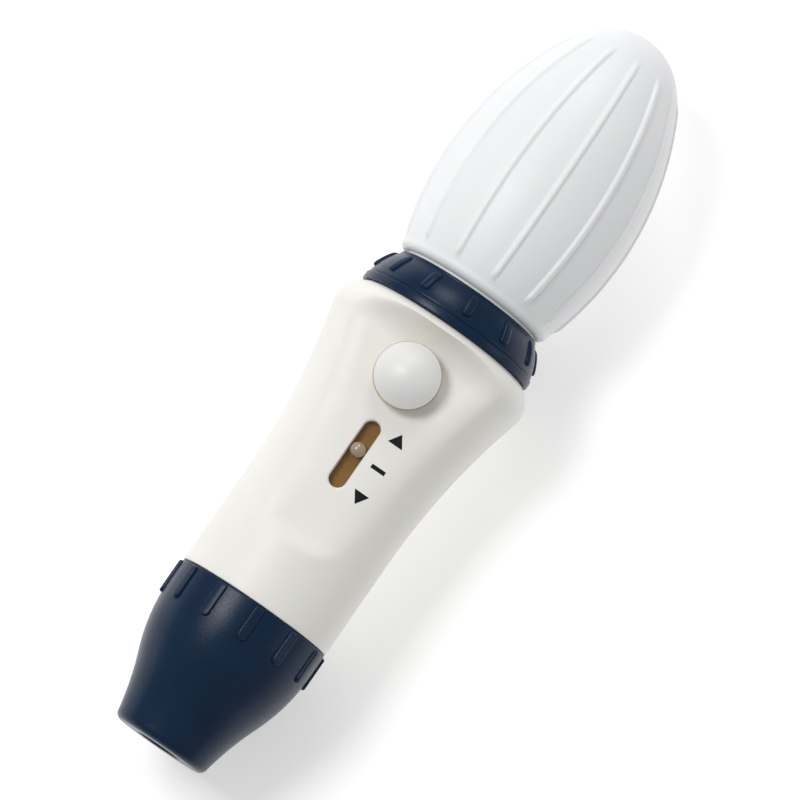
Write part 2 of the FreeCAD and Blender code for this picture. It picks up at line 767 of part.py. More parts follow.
def make_springs():
    lower = spring("spring_lower", "bore_y + wire_r", "spring_len - 2 * wire_r")
    upper_y = "knob_y + spool_head + wire_r"
    upper = spring("spring_upper", upper_y, "block_top - plug_t - wire_r - (%s)" % upper_y)
    return [lower, upper]


def make_adapter():
    cone_low = "cone_low_r - adapter_gap"
    base = "mouth_wall + adapter_gap"
    step_r = "ledge_r - adapter_gap - washer_gap"
    hollow_r = "ledge_r - adapter_wall - adapter_step"
    hollow_y = base + " + adapter_foot"
    socket_y = base + " + lead_len"
    socket_top = socket_y + " + socket_len"
    return [turned("pipette_adapter", [
        ("socket_r + socket_lead", base),
        (cone_low, base),
        (step_r, "ledge_y - ledge_h"),
        (step_r, "flange_low"),
        ("nose_bore_r - adapter_gap", "flange_low"),
        ("nose_bore_r - adapter_gap", "flange_top"),
        (hollow_r, "flange_top"),
        (hollow_r, "ledge_y"),
        ("(%s + socket_r + tube_wall) / 2 + adapter_web" % cone_low, hollow_y),
        ("socket_r + tube_wall", hollow_y),
        ("socket_r + tube_wall", "flange_top"),
        ("adapter_hole_r", "flange_top"),
        ("adapter_hole_r", socket_top),
        ("socket_r", socket_top),
        ("socket_r", socket_y),
    ])]


def ribs(body, name, corners, plane, width, count, lift=None):
    # one raised rib on a turned body, repeated around its axis
    sketch = outline(body, name + "_outline", plane, corners)
    if lift:
        sketch.setExpression("AttachmentOffset.Base.z", bound(lift))
    pad = body.newObject("PartDesign::Pad", name + "_pad")
    pad.Profile = sketch
    drive(pad, Length=width)
    pad.Midplane = plane == "YZ_Plane"
    pattern = body.newObject("PartDesign::PolarPattern", name + "_pattern")
    pattern.Originals = [pad]
    pattern.Axis = (origin_part(body, "Y_Axis"), [""])
    pattern.Angle = 360
    drive(pattern, Occurrences=count)
    body.Tip = pattern


def make_nose():
    blank = turned("nose_blank", [
        ("mouth_r", "0"),
        ("nose_tip_r - tip_round", "0"),
        ("nose_tip_r", "tip_round", "tip_round"),
        ("waist_r", "waist_rise", "-waist_arc"),
        ("grip_r", "full_y", "full_arc"),
        ("grip_r", "nose_len - nose_chamfer"),
        ("grip_r - nose_chamfer", "nose_len"),
        ("nose_bore_r", "nose_len"),
        ("nose_bore_r", "ledge_y"),
        ("ledge_r", "ledge_y"),
        ("ledge_r", "ledge_y - ledge_h"),
        ("cone_low_r", "mouth_wall"),
        ("mouth_r", "mouth_wall"),
    ])
    half = "rib_w / 2"
    foot = "nose_len - rib_len"
    ribs(blank, "nose_rib", [
        (half, "nose_len - nose_chamfer"),
        ("-" + half, "nose_len - nose_chamfer"),
        ("-" + half, foot + " + " + half),
        ("0", foot, half),
        (half, foot + " + " + half, half),
    ], "XY_Plane", "rib_proud + over", "rib_count", "grip_r - over")
    place(blank)
    blank.Placement.Rotation = FreeCAD.Rotation(FreeCAD.Vector(0, 1, 0), number("rib_phase"))
    # half a pitch off the barrel's ridge, one turn up
    ridge = thread("nose_thread", "low_thread_y + 1.5 * thread_pitch", "nose_bore_r",
                   "thread_pitch * nose_turns", True)
    return [joined("nose_cone", [blank, ridge])]


def make_collar():
    rim_r = "lip_r + lip_t"
    band_top = "collar_y + collar_band"
    blank = turned("collar_blank", [
        ("collar_bore_r", "collar_y"),
        ("collar_r", "collar_y"),
        ("collar_r", band_top),
        ("collar_r - collar_bevel", band_top + " + collar_bevel_h"),
        (rim_r, "collar_top - rim_h", "collar_arc"),
        (rim_r, "collar_top"),
        ("lip_r", "collar_top"),
        ("lip_r", "collar_ledge"),
        ("collar_bore_r", "collar_ledge"),
    ])
    low = band_top + " + collar_rib_low"
    ribs(blank, "collar_rib", [
        (low, "collar_r - collar_rib_root"),
        (low, "collar_r - collar_rib_back + collar_rib_proud"),
        ("collar_top - collar_rib_top", "lip_r + collar_rib_top + collar_rib_proud", "-collar_arc"),
        ("collar_top - rim_h / 2", "lip_r + lip_t / 2"),
    ], "YZ_Plane", "collar_rib_w", "rib_count")
    place(blank)
    blank.Placement.Rotation = FreeCAD.Rotation(FreeCAD.Vector(0, 1, 0), number("rib_phase"))
    ridge = thread("collar_thread", "top_thread_y + thread_pitch / 2", "collar_bore_r",
                   "thread_pitch * collar_turns", True)
    washer = turned("slip_washer", [
        ("lip_r + washer_gap", "washer_y"),
        ("collar_bore_r - washer_gap", "washer_y"),
        ("collar_bore_r - washer_gap", "collar_ledge"),
        ("lip_r + washer_gap", "collar_ledge"),
    ])
    return [joined("collar_ring", [blank, ridge]), washer]


def oval(radius, half, end_r):
    # the side of the bulb: a long arc past its widest point, met in line by a smaller one over its end
    long_r = "((%s)^2 + (%s - %s)^2 - (%s)^2)" % (radius, half, end_r, end_r)
    side = "%s / (2 * (%s - %s))" % (long_r, radius, end_r)
    share = "%s / (%s - %s)" % (end_r, side, end_r)
    join_r = "(%s - %s) * %s" % (side, radius, share)
    join_y = "bulb_mid + (%s - %s) * (1 + %s)" % (half, end_r, share)
    return side, join_r, join_y


def side_radius(radius, side, y):
    return "%s - %s + sqrt((%s)^2 - (bulb_mid - (%s))^2)" % (radius, side, side, y)


def make_bulb():
    side, join_r, join_y = oval("bulb_r", "bulb_half", "bulb_end_r")
    rim_r = side_radius("bulb_r", side, "rim_y")
    fit_r = "collar_bore_r - plate_fit"
    skin = turned("bulb_skin", [
        ("0", "flange_y"),
        (fit_r, "flange_y"),
        (fit_r, "flange_y + flange_h"),
        ("neck_r", "flange_y + flange_h"),
        ("neck_r", "bulb_base"),
        (rim_r + " - rim_round", "bulb_base"),
        (rim_r, "rim_y", "rim_round"),
        ("bulb_r", "bulb_mid", side),
        (join_r, join_y, side),
        ("0", "bulb_top", "bulb_end_r"),
    ])
    swollen_r = "bulb_r + bulb_rib_proud"
    swell, swell_r, swell_y = oval("(%s)" % swollen_r, "bulb_half", "bulb_end_r")
    swollen = turned("bulb_rib_limit", [
        ("0", "bulb_rib_low"),
        (side_radius(swollen_r, swell, "bulb_rib_low"), "bulb_rib_low"),
        (swollen_r, "bulb_mid", swell),
        (side_radius(swollen_r, swell, "bulb_rib_top"), "bulb_rib_top", swell),
        ("0", "bulb_rib_top"),
    ])
    bars = []
    for turn in range(int(number("bulb_rib_count"))):
        angle = "bulb_rib_phase + %d * 360 / bulb_rib_count" % turn
        bar = doc.addObject("Part::Box", "bulb_bar_%d" % (turn + 1))
        drive(bar, Length="bulb_rib_w", Width="bulb_len", Height="bulb_r * 1.2")
        place(bar, "-bulb_rib_w / 2 * cos(%s)" % angle, "bulb_base", "bulb_rib_w / 2 * sin(%s)" % angle,
              FreeCAD.Rotation(FreeCAD.Vector(0, 1, 0), number(angle)))
        bars.append(bar)
    ridges = shared("bulb_ridges", swollen, joined("bulb_bars", bars))
    inner = "%s - bulb_wall" % side
    inner_end = "bulb_end_r - bulb_wall"
    step_r = side_radius("bulb_r - bulb_wall", "(%s)" % inner, "bulb_base + bulb_wall")
    end_y = "(bulb_top - bulb_end_r)"
    shrink = "(%s) / bulb_end_r" % inner_end
    room = turned("bulb_room", [
        ("0", "flange_y - over"),
        ("neck_in", "flange_y - over"),
        ("neck_in", "bulb_base + bulb_wall"),
        (step_r, "bulb_base + bulb_wall"),
        ("bulb_r - bulb_wall", "bulb_mid", inner),
        ("%s * %s" % (join_r, shrink), "%s + (%s - %s) * %s" % (end_y, join_y, end_y, shrink), inner),
        ("0", "bulb_top - bulb_wall", inner_end),
    ])
    bulb = less("bulb", joined("bulb_solid", [skin, ridges]), [room])
    ring = turned("neck_ring", [
        ("neck_in - neck_ring_gap - neck_ring_t", "flange_y"),
        ("neck_in - neck_ring_gap", "flange_y"),
        ("neck_in - neck_ring_gap", "bulb_base"),
        ("neck_in - neck_ring_gap - neck_ring_t", "bulb_base"),
    ])
    return [bulb, ring]


pieces = [make_housing(), make_valve_block()]
for make in (make_block_screws, make_seat, make_exhaust_valve, make_filter, make_control, make_spool,
             make_springs, make_adapter, make_nose, make_collar, make_bulb):
    pieces += make()
doc.recompute()

for item in doc.Objects:
    if "Invalid" in item.State or "Error" in item.State:
        raise RuntimeError("%s did not build: %s" % (item.Name, item.State))
for piece in pieces:
    if piece.Shape.isNull() or not piece.Shape.isValid():
        raise RuntimeError("%s has no valid solid" % piece.Label)

os.makedirs("parts", exist_ok=True)
for piece in pieces:
    print("%-20s solids %d volume %9.2f" % (piece.Label, len(piece.Shape.Solids), piece.Shape.Volume))
    piece.Shape.exportStep("parts/%s.step" % piece.Label)
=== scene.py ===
import json
import math

import bmesh
import bpy
from mathutils import Matrix, Vector


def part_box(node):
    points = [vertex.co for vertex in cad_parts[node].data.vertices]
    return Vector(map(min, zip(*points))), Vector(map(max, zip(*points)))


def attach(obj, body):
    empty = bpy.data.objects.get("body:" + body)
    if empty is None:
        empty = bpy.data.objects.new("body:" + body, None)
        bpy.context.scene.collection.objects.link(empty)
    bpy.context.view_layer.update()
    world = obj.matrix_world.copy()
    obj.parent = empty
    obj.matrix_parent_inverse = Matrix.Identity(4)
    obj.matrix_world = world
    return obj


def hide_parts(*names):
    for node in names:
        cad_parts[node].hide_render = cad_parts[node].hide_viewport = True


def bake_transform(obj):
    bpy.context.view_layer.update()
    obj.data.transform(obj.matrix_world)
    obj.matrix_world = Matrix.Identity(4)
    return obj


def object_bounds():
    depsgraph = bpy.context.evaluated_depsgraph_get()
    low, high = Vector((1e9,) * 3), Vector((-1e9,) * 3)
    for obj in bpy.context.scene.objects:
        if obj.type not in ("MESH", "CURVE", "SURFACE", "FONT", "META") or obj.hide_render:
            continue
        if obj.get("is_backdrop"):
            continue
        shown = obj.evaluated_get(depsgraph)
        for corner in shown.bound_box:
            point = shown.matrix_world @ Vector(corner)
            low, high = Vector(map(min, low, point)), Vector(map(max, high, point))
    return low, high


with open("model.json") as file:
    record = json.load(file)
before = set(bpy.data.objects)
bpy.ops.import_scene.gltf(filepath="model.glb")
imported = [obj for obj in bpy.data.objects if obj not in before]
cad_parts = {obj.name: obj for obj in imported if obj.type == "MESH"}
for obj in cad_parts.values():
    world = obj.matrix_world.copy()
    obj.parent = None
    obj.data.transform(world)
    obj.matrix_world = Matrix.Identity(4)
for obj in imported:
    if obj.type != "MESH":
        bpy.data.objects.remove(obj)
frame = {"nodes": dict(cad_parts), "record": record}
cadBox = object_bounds()
print("frame loaded:", len(frame["nodes"]), "nodes")

mm = 0.001
weldGap = 1e-7
noseLow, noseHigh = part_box("nose_cone")
barrelLow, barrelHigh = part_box("housing")
collarLow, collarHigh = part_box("collar_ring")
bulbLow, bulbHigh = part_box("bulb")
knobLow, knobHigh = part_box("control_knob")
beadLow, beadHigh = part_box("pointer_bead")


# ---- outlines: lists of (radius, height) points ----

def arcPoints(start, end, radius, steps):
    # from start (left out) to end; a positive radius turns left on the way
    reach = abs(radius)
    chord = math.hypot(end[0] - start[0], end[1] - start[1])
    rise = math.sqrt(max(reach ** 2 - chord ** 2 / 4, 0))
    side = 1 if radius > 0 else -1
    centreX = (start[0] + end[0]) / 2 - side * rise * (end[1] - start[1]) / chord
    centreY = (start[1] + end[1]) / 2 + side * rise * (end[0] - start[0]) / chord
    first = math.atan2(start[1] - centreY, start[0] - centreX)
    last = math.atan2(end[1] - centreY, end[0] - centreX)
    sweep = (last - first) * side % (2 * math.pi) * side
    angles = [first + sweep * step / steps for step in range(1, steps + 1)]
    return [(centreX + reach * math.cos(angle), centreY + reach * math.sin(angle)) for angle in angles]


def linePoints(start, end, spacing):
    # from start (left out) to end, at most one spacing apart
    across, along = end[0] - start[0], end[1] - start[1]
    steps = max(1, math.ceil(math.hypot(across, along) / spacing))
    shares = [step / steps for step in range(1, steps + 1)]
    return [(start[0] + across * share, start[1] + along * share) for share in shares]


def softCorners(corners, radius, steps=4):
    # rounds each corner of a closed outline of straight runs
    outline = []
    for index, corner in enumerate(corners):
        point = Vector(corner)
        before = Vector(corners[index - 1]) - point
        after = Vector(corners[(index + 1) % len(corners)]) - point
        cut = radius / math.tan(before.angle(after) / 2)
        start = point + before.normalized() * cut
        end = point + after.normalized() * cut
        for step in range(steps + 1):
            share = step / steps
            bend = start * (1 - share) ** 2 + point * 2 * share * (1 - share) + end * share ** 2
            outline.append(tuple(bend))
    return outline


# ---- meshes ----

def evenAngles(count):
    return [2 * math.pi * index / count for index in range(count)]


def onAxisY(radius, angle, height):
    # angle 0 is the front, +Z, and it turns towards +X
    return (radius * math.sin(angle), height, radius * math.cos(angle))


def onAxisZ(centreY):
    # places points about an upright axis that stands at this place along the object
    def place(radius, angle, height):
        return (radius * math.cos(angle), centreY + radius * math.sin(angle), height)
    return place


def turnedMesh(name, stations, angles, place=onAxisY, shape=None):
    # turns a closed outline about an axis; shape may move a point in or out
    verts, rows = [], []
    for row, (radius, height) in enumerate(stations):
        if radius < weldGap:
            rows.append([len(verts)] * len(angles))
            verts.append(place(0, 0, height))
            continue
        rows.append(list(range(len(verts), len(verts) + len(angles))))
        for angle in angles:
            verts.append(place(shape(row, radius, angle, height) if shape else radius, angle, height))
    faces = []
    for row, lower in enumerate(rows):
        upper = rows[(row + 1) % len(rows)]
        for column in range(len(angles)):
            following = (column + 1) % len(angles)
            corners = list(dict.fromkeys([lower[column], lower[following], upper[following], upper[column]]))
            if len(corners) > 2:
                faces.append(corners)
    mesh = bpy.data.meshes.new(name)
    mesh.from_pydata(verts, [], faces)
    mesh.update()
    return mesh


def newPiece(name, mesh, material, sharpAngle=35):
    mesh.shade_smooth()
    mesh.set_sharp_from_angle(angle=math.radians(sharpAngle))
    if not mesh.materials:
        mesh.materials.append(material)
    piece = bpy.data.objects.new(name, mesh)
    bpy.context.scene.collection.objects.link(piece)
    return piece


def addPiece(name, mesh, material, body, replaced=(), sharpAngle=35):
    piece = newPiece(name, mesh, material, sharpAngle)
    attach(piece, body)
    if replaced:
        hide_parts(*replaced)
    return piece


# ---- Geometry Nodes ----

class NodeTree:
    # a small shorthand for adding nodes and joining their sockets
    def __init__(self, tree):
        self.tree = tree

    def add(self, kind, inputs=(), **settings):
        node = self.tree.nodes.new(kind)
        for key, value in settings.items():
            setattr(node, key, value)
        for key, value in dict(inputs).items():
            socket = node.inputs[key]
            if isinstance(value, bpy.types.NodeSocket):
                self.tree.links.new(value, socket)
            else:
                socket.default_value = value
        return node

    def math(self, operation, first, second=0.0, third=0.0):
        node = self.add("ShaderNodeMath", {0: first, 1: second, 2: third}, operation=operation)
        return node.outputs[0]

    def stretch(self, value, low, high, toLow, toHigh, **settings):
        node = self.add("ShaderNodeMapRange", {0: value, 1: low, 2: high, 3: toLow, 4: toHigh}, **settings)
        return node.outputs[0]

    def smooth(self, value, low, high, toLow, toHigh):
        return self.stretch(value, low, high, toLow, toHigh, interpolation_type="SMOOTHSTEP")

    def mixColour(self, share, first, second):
        node = self.add("ShaderNodeMix", {0: share, 6: first, 7: second}, data_type="RGBA")
        return node.outputs[2]

    def noise(self, place, scale, **inputs):
        node = self.add("ShaderNodeTexNoise", {"Vector": place, "Scale": scale, **inputs})
        return node.outputs["Fac"]

    def close(self, geometry, material):
        # every geometry tree ends in real geometry with its material set
        solid = self.add("GeometryNodeRealizeInstances", {0: geometry}).outputs[0]
        painted = self.add("GeometryNodeSetMaterial", {"Geometry": solid, "Material": material})
        self.add("NodeGroupOutput", {0: painted.outputs[0]})


def newGeometryTree(name, sizes):
    tree = bpy.data.node_groups.new(name, "GeometryNodeTree")
    tree.interface.new_socket("Geometry", in_out="INPUT", socket_type="NodeSocketGeometry")
    for label, value in sizes.items():
        kind = "NodeSocketInt" if isinstance(value, int) else "NodeSocketFloat"
        tree.interface.new_socket(label, in_out="INPUT", socket_type=kind)
    tree.interface.new_socket("material", in_out="INPUT", socket_type="NodeSocketMaterial")
    tree.interface.new_socket("Geometry", in_out="OUTPUT", socket_type="NodeSocketGeometry")
    return tree


def appliedMesh(name, mesh, tree, sizes, material):
    # runs a tree on a mesh and keeps the result as a plain mesh
    holder = bpy.data.objects.new(name + "Maker", mesh)
    bpy.context.scene.collection.objects.link(holder)
    modifier = holder.modifiers.new("shape", "NODES")
    modifier.node_group = tree
    for item in tree.interface.items_tree:
        if item.in_out == "INPUT" and item.name in sizes:
            modifier[item.identifier] = sizes[item.name]
        elif item.in_out == "INPUT" and item.name == "material":
            modifier[item.identifier] = material
    graph = bpy.context.evaluated_depsgraph_get()
    result = bpy.data.meshes.new_from_object(holder.evaluated_get(graph))
    result.name = name
    bpy.data.objects.remove(holder)
    return result


def repeatTree():
    # copies the incoming piece round the Y axis
    sizes = {"count": 12, "firstTurn": 0.0, "turnStep": 0.0}
    tree = newGeometryTree("repeatAboutAxis", sizes)
    build = NodeTree(tree)
    given = build.add("NodeGroupInput").outputs
    points = build.add("GeometryNodeMeshLine", {"Count": given["count"], "Offset": (0, 0, 0)}, mode="OFFSET")
    index = build.add("GeometryNodeInputIndex").outputs[0]
    turn = build.math("MULTIPLY_ADD", index, given["turnStep"], given["firstTurn"])
    euler = build.add("ShaderNodeCombineXYZ", {1: turn}).outputs[0]
    rotation = build.add("FunctionNodeEulerToRotation", {0: euler}).outputs[0]
    copies = build.add("GeometryNodeInstanceOnPoints", {
        "Points": points.outputs[0], "Instance": given["Geometry"], "Rotation": rotation})
    build.close(copies.outputs[0], given["material"])
    return tree


def ridgeTree(sizes):
    # raises soft ridges that run along the Y axis on the outside of a round skin
    tree = newGeometryTree("softRidges", sizes)
    build = NodeTree(tree)
    given = build.add("NodeGroupInput").outputs
    place = build.add("ShaderNodeSeparateXYZ", {0: build.add("GeometryNodeInputPosition").outputs[0]}).outputs
    normal = build.add("GeometryNodeInputNormal").outputs[0]
    facing = build.add("ShaderNodeSeparateXYZ", {0: normal}).outputs
    angle = build.math("ARCTAN2", place[0], place[2])
    pitch = build.math("DIVIDE", 2 * math.pi, given["ridgeCount"])
    turns = build.math("DIVIDE", build.math("SUBTRACT", angle, given["ridgePhase"]), pitch)
    offCentre = build.math("ABSOLUTE", build.math("SUBTRACT", turns, build.math("ROUND", turns)))
    squares = build.math("MULTIPLY_ADD", place[0], place[0], build.math("MULTIPLY", place[2], place[2]))
    radius = build.math("SQRT", squares)
    distance = build.math("MULTIPLY", build.math("MULTIPLY", offCentre, pitch), radius)
    halfWidth = build.math("MULTIPLY", given["ridgeWidth"], 0.5)
    crown = build.math("MULTIPLY", halfWidth, given["crownShare"])
    across = build.smooth(distance, halfWidth, crown, 0.0, 1.0)
    lowEnd = build.math("ADD", given["ridgeLow"], given["lowFade"])
    highStart = build.math("SUBTRACT", given["ridgeHigh"], given["highFade"])
    rising = build.smooth(place[1], given["ridgeLow"], lowEnd, 0.0, 1.0)
    falling = build.smooth(place[1], highStart, given["ridgeHigh"], 1.0, 0.0)
    outward = build.math("MULTIPLY_ADD", place[0], facing[0], build.math("MULTIPLY", place[2], facing[2]))
    outside = build.math("GREATER_THAN", outward, 0.0)
    lift = given["ridgeHeight"]
    for share in (across, rising, falling, outside):
        lift = build.math("MULTIPLY", lift, share)
    offset = build.add("ShaderNodeVectorMath", {0: normal, "Scale": lift}, operation="SCALE").outputs[0]
    moved = build.add("GeometryNodeSetPosition", {"Geometry": given["Geometry"], "Offset": offset})
    build.close(moved.outputs[0], given["material"])
    return tree


repeatAboutAxis = repeatTree()
print("geometry trees ready")


# ---- materials, all on Object coordinates ----

def newShader(name):
    material = bpy.data.materials.new(name)
    material.use_nodes = True
    build = NodeTree(material.node_tree)
    return material, build, material.node_tree.nodes["Principled BSDF"]


def finish(name, base, shade, roughness, grain=0.25 * mm, grainDepth=0.02 * mm, patch=12 * mm, polish=0.05,
           specks=None, **shaderInputs):
    # a moulded or turned surface: slow colour drift, uneven polish and a fine grain
    material, build, shader = newShader(name)
    place = build.add("ShaderNodeTexCoord").outputs["Object"]
    drift = build.noise(place, 1 / patch, Detail=4.0, Roughness=0.6)
    blend = build.stretch(drift, 0.35, 0.7, 0.0, 1.0)
    colour = build.mixColour(blend, (*base, 1), (*shade, 1))
    fine = build.noise(place, 1 / grain, Detail=3.0, Roughness=0.55)
    if specks:
        dots = build.add("ShaderNodeTexVoronoi", {"Vector": place, "Scale": 1 / specks["spacing"]}).outputs
        near = build.stretch(dots["Distance"], specks["size"], 0.0, 0.0, 1.0)
        dotNumber = build.add("ShaderNodeSeparateColor", {0: dots["Color"]}).outputs[0]
        chosen = build.math("GREATER_THAN", dotNumber, specks["rarity"])
        colour = build.mixColour(build.math("MULTIPLY", near, chosen), colour, (*specks["colour"], 1))
    rough = build.stretch(drift, 0.3, 0.75, roughness - polish, roughness + polish)
    bump = build.add("ShaderNodeBump", {"Height": fine, "Distance": grainDepth, "Strength": 1.0})
    for label, output in (("Base Color", colour), ("Roughness", rough), ("Normal", bump.outputs[0])):
        material.node_tree.links.new(output, shader.inputs[label])
    for label, value in shaderInputs.items():
        shader.inputs[label.replace("_", " ")].default_value = value
    return material


def clearPlastic(name, seenThroughTint, clearness, swirlScale, **shaderInputs):
    # clear moulded plastic with a faint swirl in its polish
    material, build, shader = newShader(name)
    place = build.add("ShaderNodeTexCoord").outputs["Object"]
    swirl = build.noise(place, swirlScale, Detail=2.0)
    rough = build.stretch(swirl, 0.0, 1.0, 0.02, 0.07)
    material.node_tree.links.new(rough, shader.inputs["Roughness"])
    shader.inputs["Base Color"].default_value = (*seenThroughTint, 1)
    shader.inputs["Transmission Weight"].default_value = clearness
    for label, value in shaderInputs.items():
        shader.inputs[label.replace("_", " ")].default_value = value
    return material


shellPlastic = finish("shellPlastic", (0.86, 0.848, 0.80), (0.84, 0.825, 0.772), 0.50, grain=0.22 * mm,
                      grainDepth=0.012 * mm, patch=18 * mm, Subsurface_Weight=0.08, Subsurface_Scale=0.002)
navySpecks = {"spacing": 1.6 * mm, "size": 0.05, "rarity": 0.86, "colour": (0.09, 0.13, 0.20)}
navyPlastic = finish("navyPlastic", (0.0040, 0.0195, 0.052), (0.0031, 0.0155, 0.043), 0.29, grain=0.34 * mm,
                     grainDepth=0.035 * mm, patch=9 * mm, polish=0.04, specks=navySpecks,
                     Specular_IOR_Level=0.2)
bulbSilicone = finish("bulbSilicone", (0.86, 0.868, 0.88), (0.845, 0.85, 0.86), 0.46, grain=0.5 * mm,
                      grainDepth=0.006 * mm, patch=25 * mm, Subsurface_Weight=0.18, Subsurface_Scale=0.004)
knobPlastic = finish("knobPlastic", (0.81, 0.81, 0.80), (0.79, 0.79, 0.775), 0.42, grain=0.2 * mm,
                     grainDepth=0.006 * mm, patch=8 * mm, Subsurface_Weight=0.1, Subsurface_Scale=0.0015)
# tan for the thin ring under the knob's rim: painted shade standing in for the shadow in the gap there
gapShadowTan = finish("gapShadowTan", (0.52, 0.40, 0.19), (0.46, 0.35, 0.16), 0.45, patch=3 * mm)
amberPlastic = finish("amberPlastic", (0.245, 0.125, 0.022), (0.19, 0.095, 0.016), 0.22, grain=0.4 * mm,
                      grainDepth=0.01 * mm, patch=5 * mm, Coat_Weight=0.3, Coat_Roughness=0.08)
# the clear bead's amber base colour is painted see-through light: it stands in for the amber strip seen
# through the bead
clearBead = clearPlastic("clearBead", (0.80, 0.62, 0.44), 0.55, 900.0, IOR=1.45, Coat_Weight=1.0,
                         Coat_Roughness=0.04)
printInk = finish("printInk", (0.006, 0.007, 0.009), (0.010, 0.011, 0.013), 0.6, grain=0.15 * mm,
                  patch=2 * mm, Specular_IOR_Level=0.15)
valvePlastic = finish("valvePlastic", (0.55, 0.56, 0.57), (0.5, 0.51, 0.53), 0.45, grain=0.3 * mm,
                      patch=7 * mm)
filterPlastic = finish("filterPlastic", (0.82, 0.83, 0.84), (0.77, 0.78, 0.80), 0.38, patch=6 * mm,
                       Subsurface_Weight=0.15, Subsurface_Scale=0.002)
membraneFelt = finish("membraneFelt", (0.9, 0.9, 0.88), (0.83, 0.83, 0.81), 0.9, grain=0.12 * mm,
                      grainDepth=0.06 * mm, patch=2 * mm)
sealRubber = finish("sealRubber", (0.022, 0.022, 0.023), (0.03, 0.03, 0.03), 0.55, grain=0.2 * mm,
                    patch=3 * mm)
adapterSilicone = finish("adapterSilicone", (0.030, 0.032, 0.038), (0.042, 0.044, 0.05), 0.5,
                         grain=0.4 * mm, patch=5 * mm)
stainless = finish("stainless", (0.58, 0.58, 0.57), (0.5, 0.5, 0.5), 0.28, grain=0.1 * mm,
                   grainDepth=0.01 * mm, patch=2 * mm, Metallic=1.0)

finishOfSlot = {
    "shell_plastic": shellPlastic, "valve_plastic": valvePlastic, "screw_steel": stainless,
    "spring_steel": stainless, "seal_rubber": sealRubber, "filter_plastic": filterPlastic,
    "membrane": membraneFelt, "knob_plastic": knobPlastic, "amber_plastic": amberPlastic,
    "clear_bead": clearBead, "adapter_silicone": adapterSilicone, "navy_plastic": navyPlastic,
    "bulb_silicone": bulbSilicone,
}
slotOfNode = {row["node"]: row["material_slot"] for row in frame["record"]["subparts"]}
for nodeName, node in frame["nodes"].items():
    for materialSlot in node.material_slots:
        materialSlot.material = finishOfSlot[slotOfNode[nodeName]]
print("materials made")


# ---- screw thread, shared by the barrel, the nose and the collar ----

thread = {"pitch": 2.5 * mm, "depth": 0.8 * mm, "halfWidth": 0.5 * mm, "fade": 0.6 * mm, "lead": 1.2 * mm,
          "outerSpacing": 0.22 * mm, "innerSpacing": 0.24 * mm}


def clamped(share):
    return max(0, min(1, share))


def threadLift(angle, height, start, length):
    # how far a right-handed ridge stands up at this angle and height
    along = height - start - thread["pitch"] * (angle - math.pi / 2) / (2 * math.pi)
    offRidge = abs(along / thread["pitch"] - round(along / thread["pitch"])) * thread["pitch"]
    ends = min(height - start, start + length - height) / thread["fade"]
    return thread["depth"] * max(0, 1 - offRidge / thread["halfWidth"]) * clamped(ends)


# ---- barrel ----

barrel = {
    "gripRadius": 19.8 * mm,
    "gripEdge": 0.3 * mm,
    "wall": 2.2 * mm,
    "gripEnd": 64.0 * mm,
    "flareEnd": 108.0 * mm,
    "flareRadius": 25.6 * mm,
    "shoulderRound": 6.8 * mm,
    "rimRadius": 22.4 * mm,
    "rimEdge": 0.25 * mm,
    "lowSpigotRadius": 16.55 * mm,
    "lowSpigotEdge": 0.4 * mm,
    "lowThreadLength": 8.0 * mm,
    "topSpigotRadius": 18.2 * mm,
    "topSpigotEdge": 0.3 * mm,
    "topThreadLength": 3.0 * mm,
    # the inside: mouth and throat at the top, roof over the flare, pierced floor over the nose
    "mouthRadius": 16.4 * mm,
    "throatRadius": 15.7 * mm,
    "throatTop": 118.0 * mm,
    "roof": 113.7 * mm,
    "roofRadius": 21.0 * mm,
    "flareBore": 23.2 * mm,
    "floorTop": 41.0 * mm,
    "floorUnder": 38.5 * mm,
    "floorHole": 6.1 * mm,
    "lowBore": 14.75 * mm,
    # the recess in the front
    "flat": 17.5 * mm,
    "recessLow": 59.5 * mm,
    "recessLowRound": 6.0 * mm,
    "recessTop": 106.5 * mm,
    "recessTopRound": 7.5 * mm,
    "recessFoot": 49.0 * mm,
    "innerFoot": 46.0 * mm,
    "frontOnly": 0.2,
    "scoopShare": 0.995,
    "scoopSteepness": 12,
    "softness": 2.8 * mm,
    "lowSoftness": 1.3 * mm,
    "lowSoftEnd": 58.0 * mm,
    "lowSoftRun": 9.0 * mm,
    "edgeRound": 0.35 * mm,
    # rows up the skin, each run as (up to this height, at this spacing), and columns, in degrees
    "rows": ((52.0 * mm, 1.3 * mm), (63.0 * mm, 0.55 * mm), (70.0 * mm, 0.7 * mm), (89.4 * mm, 0.26 * mm),
             (94.6 * mm, 0.6 * mm)),
    "flareSpacing": 0.4 * mm,
    "fineFrom": 66.0 * mm,
    "innerRows": (64.0 * mm, 60.0 * mm, 56.0 * mm, 52.0 * mm, 48.0 * mm),
    "columns": ((0, 14, 0.7), (14, 64, 1.5), (64, 180, 3.0)),
    "slack": 0.1 * mm,
}
barrel["start"] = noseHigh.y + 0.2 * mm
barrel["end"] = collarLow.y - 0.2 * mm
windows = [
    {"centre": 79.7 * mm, "halfWidth": 2.1 * mm, "halfLength": 8.95 * mm},
    {"centre": 101.0 * mm, "halfWidth": 2.4 * mm, "halfLength": 5.6 * mm},
]


def barrelRadius(height):
    flareLength = barrel["flareEnd"] - barrel["gripEnd"]
    flareRise = barrel["flareRadius"] - barrel["gripRadius"]
    flareArc = (flareLength ** 2 + flareRise ** 2) / (2 * flareRise)
    if height <= barrel["gripEnd"]:
        return barrel["gripRadius"]
    return barrel["gripRadius"] + flareArc - math.sqrt(flareArc ** 2 - (height - barrel["gripEnd"]) ** 2)


